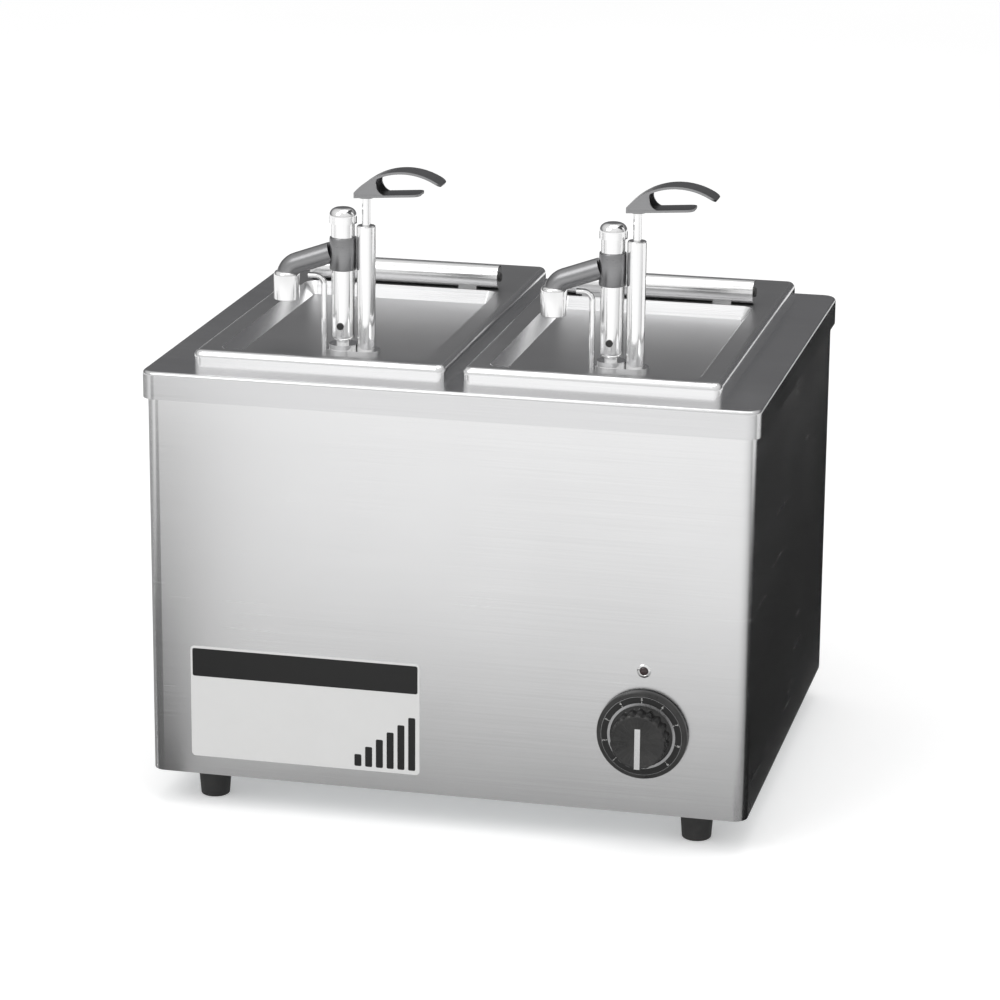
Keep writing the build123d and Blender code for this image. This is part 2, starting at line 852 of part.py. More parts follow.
def inlet_ball(riser_x):
    """Check ball resting on the inlet seat."""
    rest = seat_height + math.sqrt(ball_radius ** 2 - seat_radius ** 2) + running_clear
    return Pos(riser_x, pump_y, rest) * Sphere(ball_radius)


def plunger_rod(riser_x):
    """Plunger rod from the piston to the lever."""
    return bar(rod_radius, piston_bottom + piston_height / 2, rod_top, riser_x, pump_y)


def ring_around(radius, riser_x):
    """Ring that fills the piston's groove out to a radius."""
    high = ring_bottom + ring_height
    ring = bar(radius, ring_bottom, high, riser_x, pump_y)
    return ring - bar(piston_radius - ring_depth, ring_bottom, high, riser_x, pump_y)


def piston(riser_x):
    """Piston with a groove for its ring."""
    high = piston_bottom + piston_height
    body = bar(piston_radius, piston_bottom, high, riser_x, pump_y)
    body -= ring_around(piston_radius + cut_margin, riser_x)
    return body - bar(rod_radius, piston_bottom + piston_height / 2, high, riser_x, pump_y)


def piston_ring(riser_x):
    """Sealing ring of the piston."""
    return ring_around(piston_radius, riser_x)


def return_spring(riser_x):
    """Coil spring in the barrel, under the piston."""
    low = valve_top + spring_wire + spring_clear
    high = piston_bottom - spring_wire - spring_clear
    pitch = (high - low) / spring_turns
    path = Helix(pitch, high - low, spring_radius, center=(riser_x, pump_y, low))
    return tube_along(path, spring_wire)


def spout_path(post_x):
    """Line that the spout's bore follows: a gentle fall, then straight down."""
    end_x = post_x - spout_reach
    start_x = post_x - post_radius - running_clear - spout_root
    return FilletPolyline((start_x, pump_y, spout_z), (end_x, pump_y, spout_z - spout_fall),
                          (end_x, pump_y, spout_z - spout_length), radius=spout_bend)


def spout(post_x):
    """Swivelling spout: a hub on the post and a falling arm that turns down at its end."""
    hub_bore = post_radius + running_clear
    low = spout_z - hub_below
    high = spout_z + hub_above
    arm = tube_along(spout_path(post_x), spout_radius)
    arm += bar(hub_bore + hub_wall, low, high, post_x, pump_y)
    arm -= tube_along(spout_path(post_x), spout_bore)
    return arm - bar(hub_bore, low, high, post_x, pump_y)


def spout_nozzle(post_x):
    """Polished sleeve pressed on the spout's end."""
    end_x = post_x - spout_reach
    low = spout_z - spout_length
    sleeve = bar(nozzle_radius, low, low + nozzle_height, end_x, pump_y)
    sleeve = fillet(top_edges(sleeve), nozzle_round)
    return sleeve - tube_along(spout_path(post_x), spout_radius)


def vent_tube(post_x):
    """Thin vent tube through the lid, hooked over at the top."""
    x = post_x - vent_offset
    top = lid_floor + vent_rise
    path = FilletPolyline((x, pump_y, lid_floor - sheet), (x, pump_y, top),
                          (x - vent_bend - vent_hook, pump_y, top), radius=vent_bend)
    return tube_along(path, vent_radius) - tube_along(path, vent_bore)


def circle_through(a, b, c):
    """Centre and radius of the circle through three points."""
    first = (a[0] ** 2 + a[1] ** 2 - b[0] ** 2 - b[1] ** 2) / 2
    second = (b[0] ** 2 + b[1] ** 2 - c[0] ** 2 - c[1] ** 2) / 2
    turn = (a[0] - b[0]) * (b[1] - c[1]) - (b[0] - c[0]) * (a[1] - b[1])
    x = (first * (b[1] - c[1]) - second * (a[1] - b[1])) / turn
    y = ((a[0] - b[0]) * second - (b[0] - c[0]) * first) / turn
    return x, y, math.hypot(a[0] - x, a[1] - y)


def lever_circle():
    """Centre and radius of the crown's upper surface, seen from the side."""
    return circle_through((-lever_heel, lever_heel_height), (lever_peak_x, lever_crown),
                          (lever_tip_x, lever_tip_rise))


def inward(point):
    """Point one wall thickness towards the middle of the crown's arc."""
    x, y, radius = lever_circle()
    share = (radius - lever_wall) / radius
    return x + (point[0] - x) * share, y + (point[1] - y) * share


def lever_strip():
    """Side view of the bent strip: the heel, the arched crown and the straight leg under it."""
    x, y, radius = lever_circle()
    peak = (lever_peak_x, lever_crown)
    tip = (lever_tip_x, lever_tip_rise)
    heel_x = lever_wall - lever_heel
    heel = (heel_x, y + math.sqrt((radius - lever_wall) ** 2 - (heel_x - x) ** 2))
    outside = ThreePointArc((-lever_heel, lever_heel_height), peak, tip)
    inside = ThreePointArc(inward(tip), inward(peak), heel)
    end = Line(tip, inward(tip))
    leg = Polyline(heel, (heel_x, lever_wall), (lever_leg, lever_leg_rise + lever_wall),
                   (lever_leg, lever_leg_rise), (-lever_heel, 0), (-lever_heel, lever_heel_height))
    return make_face([outside, end, inside] + list(leg.edges()))


def lever_web():
    """Side view of the web that joins the crown and the leg beside the rod."""
    x, y, radius = lever_circle()
    left = lever_wall / 2 - lever_heel
    rise = lever_leg_rise * lever_web_end / lever_leg
    panel = make_face(Polyline((left, lever_wall / 2), (lever_web_end, rise + lever_wall / 2),
                               (lever_web_end, lever_crown), (left, lever_crown), close=True))
    bite = Pos(lever_web_end, (lever_crown + lever_wall) / 2) * Circle(lever_web_bite)
    return (panel & (Pos(x, y) * Circle(radius - lever_wall / 2))) - bite


def pump_lever(riser_x):
    """Arched palm strip folded back under itself, webbed and bossed at the rod."""
    x, y, radius = lever_circle()
    half = lever_width / 2
    strip = extrude(lever_strip(), half, both=True)
    free_ends = [edge for edge in strip.edges()
                 if edge.length < 2 * lever_wall and edge.center().X > lever_leg - lever_wall
                 and abs(edge.center().Z) > half - lever_wall]
    lever = fillet(free_ends, lever_corner)
    for side in (-1, 1):
        middle = side * (half - lever_web_inset - lever_wall / 2)
        lever += Pos(0, 0, middle) * extrude(lever_web(), lever_wall / 2, both=True)
    under_crown = extrude(Pos(x, y) * Circle(radius - lever_wall / 2), half, both=True)
    boss = Rot(-90, 0, 0) * bar(lever_boss, -lever_boss_stand, lever_crown)
    lever += boss & under_crown
    lever = Pos(riser_x, pump_y, lever_bottom) * Rot(90, 0, 0) * lever
    return lever - bar(rod_radius, lever_bottom - lever_boss_stand, rod_top, riser_x, pump_y)


def build():
    """Make every sub-part."""
    parts["deck_top"] = deck_top()
    parts["body_wrap"] = body_wrap()
    parts["rear_panel"] = rear_panel()
    parts["base_plate"] = base_plate()
    parts["feet"] = feet()
    parts["cabinet_screws"] = rear_screws() + foot_screws()
    parts["insulation"] = insulation()
    parts["element_straps"] = element_straps()
    parts["thermostat"] = thermostat()
    parts["thermostat_bulb"] = thermostat_bulb()
    parts["dial_shaft"] = dial_shaft()
    parts["dial_knob"] = dial_knob()
    parts["dial_pointer"] = dial_pointer()
    parts["dial_scale"] = dial_scale()
    parts["lamp_lens"] = lamp_lens()
    parts["lamp_body"] = lamp_body()
    parts["front_plate"] = front_plate()
    parts["cord_gland"] = cord_gland()
    parts["terminal_block"] = terminal_block()
    parts["wiring"] = wiring()
    for side, x in sides.items():
        post_x = x + post_offset
        riser_x = post_x + riser_spacing
        parts[side + "_well"] = well(x)
        parts[side + "_element"] = heating_element(x)
        parts[side + "_pan"] = pan(x)
        parts[side + "_lid"] = lid(x)
        parts[side + "_lid_rail"] = lid_rail(x)
        parts[side + "_lid_plugs"] = rail_plugs(x) + [post_screw(post_x)]
        parts[side + "_pump_flange"] = [pump_flange(post_x), pump_clamp(post_x)]
        parts[side + "_discharge_post"] = discharge_post(post_x)
        parts[side + "_post_cap"] = post_cap(post_x)
        parts[side + "_riser_tube"] = riser_tube(riser_x)
        parts[side + "_riser_bush"] = riser_bush(riser_x)
        parts[side + "_pump_barrel"] = pump_barrel(riser_x)
        parts[side + "_pump_foot"] = pump_foot(post_x)
        parts[side + "_plunger_rod"] = plunger_rod(riser_x)
        parts[side + "_inlet_ball"] = inlet_ball(riser_x)
        parts[side + "_piston"] = [piston(riser_x), piston_ring(riser_x)]
        parts[side + "_return_spring"] = return_spring(riser_x)
        parts[side + "_pump_lever"] = pump_lever(riser_x)
        parts[side + "_spout"] = [spout(post_x), spout_nozzle(post_x)]
        parts[side + "_vent_tube"] = vent_tube(post_x)


def solids_of(shape):
    """List of the solids in one sub-part."""
    if isinstance(shape, list):
        return [solid for item in shape for solid in item.solids()]
    return list(shape.solids())


def save():
    """Write one STEP file for each sub-part, with the origin moved to the unit's middle."""
    os.makedirs("parts", exist_ok=True)
    for name, shape in parts.items():
        solids = solids_of(shape)
        whole = solids[0] if len(solids) == 1 else Compound(solids)
        export_step(Pos(0, origin_y, 0) * whole, os.path.join("parts", name + ".step"))


build()
save()
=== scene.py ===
"""Looks of the countertop food pan warmer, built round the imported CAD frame."""

import logging
import math
from collections.abc import Callable, Iterable
from dataclasses import dataclass, field
from enum import Enum

import bmesh
import bpy
from mathutils import Matrix, Vector, noise

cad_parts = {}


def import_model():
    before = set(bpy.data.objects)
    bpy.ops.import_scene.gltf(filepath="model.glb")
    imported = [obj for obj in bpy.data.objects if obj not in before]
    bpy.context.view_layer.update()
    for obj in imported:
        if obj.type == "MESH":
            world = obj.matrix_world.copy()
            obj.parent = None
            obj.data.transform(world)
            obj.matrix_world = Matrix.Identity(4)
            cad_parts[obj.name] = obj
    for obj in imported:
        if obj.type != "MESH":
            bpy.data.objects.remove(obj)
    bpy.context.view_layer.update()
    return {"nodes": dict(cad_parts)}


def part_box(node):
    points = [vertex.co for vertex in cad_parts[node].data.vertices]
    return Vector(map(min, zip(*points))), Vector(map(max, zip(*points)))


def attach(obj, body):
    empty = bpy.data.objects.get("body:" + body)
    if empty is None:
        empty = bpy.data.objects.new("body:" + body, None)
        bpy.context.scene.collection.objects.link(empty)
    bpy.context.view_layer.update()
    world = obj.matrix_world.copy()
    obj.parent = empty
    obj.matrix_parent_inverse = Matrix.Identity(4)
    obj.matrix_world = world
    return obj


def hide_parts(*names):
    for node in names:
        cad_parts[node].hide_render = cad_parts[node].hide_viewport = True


LOG = logging.getLogger("warmer")
MM = 0.001
MERGE = MM / 1000
SMOOTH_ANGLE = math.radians(28.0)
UP = Vector((0, 0, 1))
ACROSS = Vector((1, 0, 0))
FORWARD = Vector((0, -1, 0))
Colour = tuple[float, float, float]
Socket = bpy.types.NodeSocket
Inputs = dict[str | int, Socket | float | tuple[float, ...]]
MeshData = tuple[list[Vector], list[list[int]]]
Profile = list[tuple[float, float]]
Pairs = tuple[tuple[float, float], ...]
Rectangle = tuple[float, float, float, float]


class Grain(Enum):
    """Direction in which a steel surface was brushed, as pattern scales along X, Y and Z."""

    ALONG_X = (6.0, 900.0, 900.0)
    ALONG_Y = (900.0, 6.0, 900.0)
    ROUND_Z = (5.0, 5.0, 1000.0)
    LENGTH_Z = (900.0, 900.0, 5.0)
    POLISHED = (60.0, 60.0, 60.0)


class Side(Enum):
    """The two pan stations, seen from the front."""

    LEFT = "left"
    RIGHT = "right"

    def node(self, word: str) -> str:
        """Name of this side's node or body."""
        return f"{self.value}_{word}"


@dataclass(frozen=True)
class Finish:
    """A finish: the patterns that make one node material."""

    name: str

    def make(self) -> bpy.types.Material:
        """Build the node material.

        Returns:
            The material.
        """
        shop = NodeShop(self.name)
        self.paint(shop, shop.coords())
        return shop.material

    def paint(self, shop: "NodeShop", where: Socket) -> None:
        """Join the patterns to the shader.

        Args:
            shop: The material's maker.
            where: The place on the object.
        """
        raise NotImplementedError


@dataclass(frozen=True)
class Steel(Finish):
    """Stainless steel with brushed grain, faint smudges and polish that varies."""

    colour: Colour = (0.7, 0.7, 0.705)
    grain: Grain = Grain.ALONG_X
    rough: float = 0.26
    rough_spread: float = 0.08
    bump: float = 0.04
    tint: float = 0.08

    def paint(self, shop: "NodeShop", where: Socket) -> None:
        """Brush the steel.

        Args:
            shop: The material's maker.
            where: The place on the object.
        """
        streak = shop.noise(shop.scaled(where, self.grain.value), 1.0, 3.0, 0.6)
        smudge = shop.noise(where, 9.0, 4.0, 0.55)
        tone = shop.mix_value(streak, smudge, 0.35)
        shop.feed("Base Color", self.tinted(shop, tone))
        shop.feed("Roughness", self.polish(shop, tone))
        shop.feed("Normal", shop.bump(streak, self.bump, 0.3 * MM))
        shop.set("Metallic", 1.0)

    def shade(self, shop: "NodeShop", tone: Socket, colour: Colour) -> Socket:
        """Colour that follows the grain and the smudges.

        Args:
            shop: The material's maker.
            tone: The pattern.
            colour: Middle of the range.

        Returns:
            The colour.
        """
        dark = tuple(c * (1.0 - self.tint) for c in colour)
        light = tuple(min(1.0, c * (1.0 + self.tint * 0.6)) for c in colour)
        return shop.ramp(tone, ((0.3, dark), (0.7, light)))

    def varied(self, shop: "NodeShop", tone: Socket, rough: float) -> Socket:
        """Roughness that follows the grain and the smudges, about a middle value."""
        return shop.spread(tone, rough - self.rough_spread / 2, rough + self.rough_spread / 2)

    def tinted(self, shop: "NodeShop", tone: Socket) -> Socket:
        """Colour of the steel."""
        return self.shade(shop, tone, self.colour)

    def polish(self, shop: "NodeShop", tone: Socket) -> Socket:
        """Roughness of the steel."""
        return self.varied(shop, tone, self.rough)


@dataclass(frozen=True)
class SatinSteelPaintedShadeFlats(Steel):
    """Stainless steel with polished walls, and level faces that are rougher and carry a painted shade, a
    darker colour.
    """

    # Painted shade: the darker colour that level faces take.
    flat_painted_shade_colour: Colour = (0.4, 0.4, 0.405)
    flat_rough: float = 0.36

    def tinted(self, shop: "NodeShop", tone: Socket) -> Socket:
        """Colour with a painted shade: darker where the face is level."""
        walls = self.shade(shop, tone, self.colour)
        # Painted shade: the level mask swaps the walls' colour for the darker one.
        return shop.blend(shop.level(), walls, self.shade(shop, tone, self.flat_painted_shade_colour))

    def polish(self, shop: "NodeShop", tone: Socket) -> Socket:
        """Roughness, duller where the face is level."""
        walls = self.varied(shop, tone, self.rough)
        return shop.blend(shop.level(), walls, self.varied(shop, tone, self.flat_rough))


@dataclass(frozen=True)
class ZincSheet(Finish):
    """Zinc-coated sheet with its crystal spangle."""

    name: str = "zinc_spangle"
    dull: Colour = (0.42, 0.44, 0.45)
    bright: Colour = (0.62, 0.64, 0.65)

    def paint(self, shop: "NodeShop", where: Socket) -> None:
        """Spangle the zinc.

        Args:
            shop: The material's maker.
            where: The place on the object.
        """
        crystal = shop.voronoi(where, 150.0, "Color")
        cloud = shop.noise(where, 30.0, 3.0, 0.5)
        tone = shop.mix_value(crystal, cloud, 0.3)
        shop.feed("Base Color", shop.ramp(tone, ((0.2, self.dull), (0.8, self.bright))))
        shop.feed("Roughness", shop.spread(tone, 0.32, 0.5))
        shop.set("Metallic", 1.0)


@dataclass(frozen=True)
class Moulded(Finish):
    """Moulded plastic, rubber or enamel: fine texture, dull variation and dust."""

    colour: Colour
    rough: float = 0.45
    texture: float = 900.0
    bump: float = 0.1
    dust: Colour = (0.3, 0.29, 0.28)
    dust_share: float = 0.12

    def paint(self, shop: "NodeShop", where: Socket) -> None:
        """Texture the moulding.

        Args:
            shop: The material's maker.
            where: The place on the object.
        """
        pores = shop.noise(where, self.texture, 2.0, 0.5)
        cloud = shop.noise(where, 38.0, 5.0, 0.6)
        share = self.dust_share
        worn = tuple(c * (1 - share) + d * share for c, d in zip(self.colour, self.dust))
        shop.feed("Base Color", shop.ramp(cloud, ((0.35, self.colour), (0.8, worn))))
        shop.feed("Roughness", shop.spread(cloud, self.rough - 0.08, self.rough + 0.1))
        shop.feed("Normal", shop.bump(pores, self.bump, 0.2 * MM))


@dataclass(frozen=True)
class BakedSheath(Finish):
    """Element sheath that the heat has darkened in blotches."""

    name: str = "baked_sheath"
    cool: Colour = (0.22, 0.21, 0.2)
    hot: Colour = (0.09, 0.07, 0.06)

    def paint(self, shop: "NodeShop", where: Socket) -> None:
        """Bake the sheath.

        Args:
            shop: The material's maker.
            where: The place on the object.
        """
        blotch = shop.noise(where, 45.0, 5.0, 0.6)
        scale = shop.noise(where, 700.0, 2.0, 0.5)
        shop.feed("Base Color", shop.ramp(blotch, ((0.35, self.hot), (0.65, self.cool))))
        shop.feed("Roughness", shop.spread(blotch, 0.7, 0.45))
        shop.feed("Normal", shop.bump(scale, 0.2, 0.2 * MM))
        shop.set("Metallic", 0.8)


@dataclass(frozen=True)
class Wool(Finish):
    """Mineral wool: matted fibres in warm yellow-grey."""

    name: str = "mineral_wool_mat"
    pale: Colour = (0.74, 0.68, 0.5)
    deep: Colour = (0.5, 0.43, 0.28)

    def paint(self, shop: "NodeShop", where: Socket) -> None:
        """Mat the fibres.

        Args:
            shop: The material's maker.
            where: The place on the object.
        """
        fibre = shop.noise(shop.scaled(where, (60.0, 900.0, 400.0)), 1.0, 4.0, 0.7)
        shop.feed("Base Color", shop.ramp(fibre, ((0.3, self.deep), (0.7, self.pale))))
        shop.feed("Normal", shop.bump(fibre, 0.6, 2.0 * MM))
        shop.set("Roughness", 0.95)


@dataclass(frozen=True)
class Lens(Finish):
    """Tinted lens of the indicator lamp."""

    name: str = "lamp_lens_tint"
    colour: Colour = (0.012, 0.003, 0.003)

    def paint(self, shop: "NodeShop", where: Socket) -> None:
        """Facet the lens.

        Args:
            shop: The material's maker.
            where: The place on the object.
        """
        facets = shop.voronoi(where, 1400.0, "Distance")
        lighter = tuple(c * 1.8 for c in self.colour)
        shop.feed("Base Color", shop.ramp(facets, ((0.0, self.colour), (0.9, lighter))))
        shop.feed("Normal", shop.bump(facets, 0.15, 0.2 * MM))
        shop.set("Roughness", 0.12)
        shop.set("Coat Weight", 0.6)


class NodeTree:
    """Nodes of one material or of the studio's world."""

    def __init__(self, tree: bpy.types.NodeTree) -> None:
        """Keep the tree that the nodes go into."""
        self.tree = tree

    def add(self, kind: str, output: str | int, inputs: Inputs | None = None, mode: str = "") -> Socket:
        """Add a node, set its inputs and give one of its outputs.

        Args:
            kind: The node's type.
            output: Name or number of the output.
            inputs: What goes into each input, a socket or a constant.
            mode: Operation of a maths node, or type of data of a mixing node.

        Returns:
            The output.
        """
        node = self.tree.nodes.new("ShaderNode" + kind)
        if kind == "Mix":
            node.data_type = mode
        elif mode:
            node.operation = mode
        for socket, value in (inputs or {}).items():
            if isinstance(value, Socket):
                self.tree.links.new(value, node.inputs[socket])
            else:
                node.inputs[socket].default_value = value
        return node.outputs[output]

    def mapped(self, value: Socket, low: float, high: float,
               start: float = 0.0, end: float = 1.0) -> Socket:
        """Carry a value from one range onto another, and stop at its ends."""
        inputs = {"From Min": low, "From Max": high, "To Min": start, "To Max": end, "Value": value}
        return self.add("MapRange", "Result", inputs)

    def ramp(self, value: Socket, stops: tuple[tuple[float, Colour], ...]) -> Socket:
        """Turn a value into a colour.

        Args:
            value: The value to look up.
            stops: Places from 0 to 1, each with its colour.

        Returns:
            The colour.
        """
        output = self.add("ValToRGB", "Color", {"Fac": value})
        line = output.node.color_ramp.elements
        for index, (place, colour) in enumerate(stops):
            stop = line[index] if index < 2 else line.new(place)
            stop.position = place
            stop.color = (*colour, 1.0)
        return output


class NodeShop(NodeTree):
    """Makes one node material, piece by piece."""

    level_edge = (0.75, 0.97)
    middle = (0.3, 0.7)

    def __init__(self, name: str) -> None:
        """Start a material with a Principled shader.

        Args:
            name: The material's name.
        """
        self.material = bpy.data.materials.new(name)
        self.material.use_nodes = True
        super().__init__(self.material.node_tree)
        self.shader = self.tree.nodes["Principled BSDF"]

    def feed(self, socket: str, source: Socket) -> None:
        """Drive one of the shader's inputs."""
        self.tree.links.new(source, self.shader.inputs[socket])

    def set(self, socket: str, value: float | tuple[float, ...]) -> None:
        """Set one of the shader's inputs to a constant."""
        self.shader.inputs[socket].default_value = value

    def coords(self) -> Socket:
        """Give the place on the object, in metres."""
        return self.add("TexCoord", "Object")

    def scaled(self, where: Socket, scale: tuple[float, float, float]) -> Socket:
        """Stretch the place by a factor along each axis."""
        return self.add("Mapping", "Vector", {"Scale": scale, "Vector": where})

    def noise(self, where: Socket, scale: float, detail: float, rough: float) -> Socket:
        """Clouds from 0 to 1: number per metre, number of finer layers and the strength of those."""
        inputs = {"Scale": scale, "Detail": detail, "Roughness": rough, "Vector": where}
        return self.add("TexNoise", "Fac", inputs)

    def voronoi(self, where: Socket, scale: float, output: str) -> Socket:
        """Cells, so many per metre: "Distance" from the nearest middle, or "Color" of the cell."""
        return self.add("TexVoronoi", output, {"Scale": scale, "Vector": where})

    def mix_value(self, first: Socket, second: Socket, share: float) -> Socket:
        """Blend two patterns by how much of the second shows."""
        return self.add("Mix", "Result", {"Factor": share, "A": first, "B": second}, "FLOAT")

    def blend(self, share: Socket, first: Socket, second: Socket) -> Socket:
        """Blend two colours or values by a third: how much of the second shows."""
        return self.add("Mix", 2, {0: share, 6: first, 7: second}, "RGBA")

    def spread(self, value: Socket, low: float, high: float) -> Socket:
        """Carry the middle of a pattern's range onto another range."""
        return self.mapped(value, *self.middle, low, high)

    def bump(self, height: Socket, strength: float, depth: float) -> Socket:
        """Turn a pattern into relief, its depth in metres."""
        return self.add("Bump", "Normal", {"Strength": strength, "Distance": depth, "Height": height})

    def part(self, vector: Socket, letter: str) -> Socket:
        """Give X, Y or Z of a place or direction."""
        return self.add("SeparateXYZ", letter, {"Vector": vector})

    def level(self) -> Socket:
        """Value that is 1 on faces that look up or down, and 0 on walls."""
        rise = self.part(self.add("TexCoord", "Normal"), "Z")
        return self.mapped(self.add("Math", "Value", {0: rise, 1: rise}, "MULTIPLY"), *self.level_edge)

    def along_y(self, low: float, high: float) -> Socket:
        """Value that runs from 0 to 1 between two places along Y."""
        return self.mapped(self.part(self.coords(), "Y"), low, high)

    def total(self, values: list[Socket]) -> Socket:
        """Add several values up.

        Args:
            values: The values.

        Returns:
            Their sum.
        """
        result = values[0]
        for value in values[1:]:
            result = self.add("Math", "Value", {0: result, 1: value}, "ADD")
        return result


def new_object(name: str, data: MeshData) -> bpy.types.Object:
    """Make one object, its points merged and its faces turned outwards.

    Args:
        name: The object's name.
        data: Its points and faces.

    Returns:
        The object.
    """
    mesh = bpy.data.meshes.new(name)
    points, faces = data
    mesh.from_pydata([tuple(point) for point in points], [], faces)
    mesh.validate()
    solid = bmesh.new()
    solid.from_mesh(mesh)
    bmesh.ops.remove_doubles(solid, verts=solid.verts, dist=MERGE)
    bmesh.ops.recalc_face_normals(solid, faces=solid.faces)
    solid.to_mesh(mesh)
    solid.free()
    made = bpy.data.objects.new(name, mesh)
    bpy.context.scene.collection.objects.link(made)
    return made


def add_piece(name: str, data: MeshData, material: bpy.types.Material, body: str,
              stands_for: Iterable[str] = ()) -> bpy.types.Object:
    """Make one object from points and faces, and fix it to a body.

    Args:
        name: The piece's name.
        data: Its points, in metres in the frame, and its faces.
        material: Its finish.
        body: The body that it moves with.
        stands_for: CAD nodes that it replaces.

    Returns:
        The object.
    """
    piece = new_object(name, data)
    dress(piece, material)
    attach(piece, body)
    if stands_for:
        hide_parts(*stands_for)
    LOG.info("%s: %d faces, on %s", name, len(piece.data.polygons), body)
    return piece


def dress(node: bpy.types.Object, material: bpy.types.Material) -> None:
    """Give a piece a finish and smooth shading with crisp edges.

    Args:
        node: The piece's object.
        material: Its finish.
    """
    node.data.materials.clear()
    node.data.materials.append(material)
    node.data.shade_smooth()
    node.data.set_sharp_from_angle(angle=SMOOTH_ANGLE)
    LOG.info("%s: %s", node.name, material.name)


def dress_nodes(nodes: dict[str, bpy.types.Object], plan: Iterable[tuple[Finish, tuple[str, ...]]]) -> None:
    """Dress nodes of the frame, those of one finish with the same material.

    Args:
        nodes: The frame's nodes by name.
        plan: Each finish with the names of its nodes.
    """
    for finish, words in plan:
        material = finish.make()
        for word in words:
            dress(nodes[word], material)


def loft(rings: list[list[Vector]], closed_ends: bool = True) -> MeshData:
    """Skin a row of rings that all have the same number of points.

    Args:
        rings: The rings, in order.
        closed_ends: Whether the first and last ring are filled.

    Returns:
        Points and faces.
    """
    count = len(rings[0])
    points = [point for ring in rings for point in ring]
    faces = []
    for row in range(len(rings) - 1):
        for step in range(count):
            after = (step + 1) % count
            faces.append([row * count + step, row * count + after,
                          (row + 1) * count + after, (row + 1) * count + step])
    if closed_ends:
        faces.append(list(range(count)))
        faces.append([(len(rings) - 1) * count + step for step in range(count)])
    return points, faces


def turned(profile: Profile, centre: Vector, along: Vector, across: Vector,
           segments: int, flute: Callable[[float, float], float] | None = None,
           closed_ends: bool = True) -> MeshData:
    """Turn a profile about an axis.

    Args:
        profile: Radius and place along the axis of each ring.
        centre: Point on the axis at place 0.
        along: Direction of the axis.
        across: Direction at right angles, where the angle is 0.
        segments: Number of points in each ring.
        flute: Gives the radius to take away at an angle and a place.
        closed_ends: Whether the first and last ring are filled.

    Returns:
        Points and faces.
    """
    side = along.cross(across)
    rings = []
    for radius, place in profile:
        ring = []
        for step in range(segments):
            angle = 2 * math.pi * step / segments
            reach = radius - (flute(angle, place) if flute else 0.0)
            out = across * math.cos(angle) + side * math.sin(angle)
            ring.append(centre + along * place + out * reach)
        rings.append(ring)
    return loft(rings, closed_ends)


def rounded_outline(width: float, height: float, corner: float, steps: int) -> Profile:
    """Points round a rectangle with rounded corners, about its middle.

    Args:
        width: Size along the first axis.
        height: Size along the second axis.
        corner: Radius of the corners.
        steps: Points on each corner, less one.

    Returns:
        The points, in order.
    """
    outline = []
    for quarter, (sx, sy) in enumerate(((1, 1), (-1, 1), (-1, -1), (1, -1))):
        for step in range(steps + 1):
            angle = math.pi / 2 * (quarter + step / steps)
            outline.append((sx * (width / 2 - corner) + corner * math.cos(angle),
                            sy * (height / 2 - corner) + corner * math.sin(angle)))
    return outline


def join(parts: list[MeshData]) -> MeshData:
    """Put several meshes into one.

    Args:
        parts: The meshes.

    Returns:
        Points and faces of them all.
    """
    points: list[Vector] = []
    faces: list[list[int]] = []
    for more_points, more_faces in parts:
        base = len(points)
        points.extend(more_points)
        faces.extend([base + index for index in face] for face in more_faces)
    return points, faces


def box_middle(low: Vector, high: Vector, y: float) -> Vector:
    """Middle of a box as seen from the front, at one place along Y."""
    return Vector(((low.x + high.x) / 2, y, (low.z + high.z) / 2))


def mesh_data(mesh: bpy.types.Mesh, place: Matrix) -> MeshData:
    """Points and faces of a Blender mesh, moved to a place."""
    points = [place @ vertex.co for vertex in mesh.vertices]
    return points, [list(face.vertices) for face in mesh.polygons]


def applied(piece: bpy.types.Object) -> bpy.types.Mesh:
    """Mesh of an object with its modifiers worked in.

    Args:
        piece: The object.

    Returns:
        A new mesh.
    """
    bpy.context.view_layer.update()
    graph = bpy.context.evaluated_depsgraph_get()
    return bpy.data.meshes.new_from_object(piece.evaluated_get(graph))


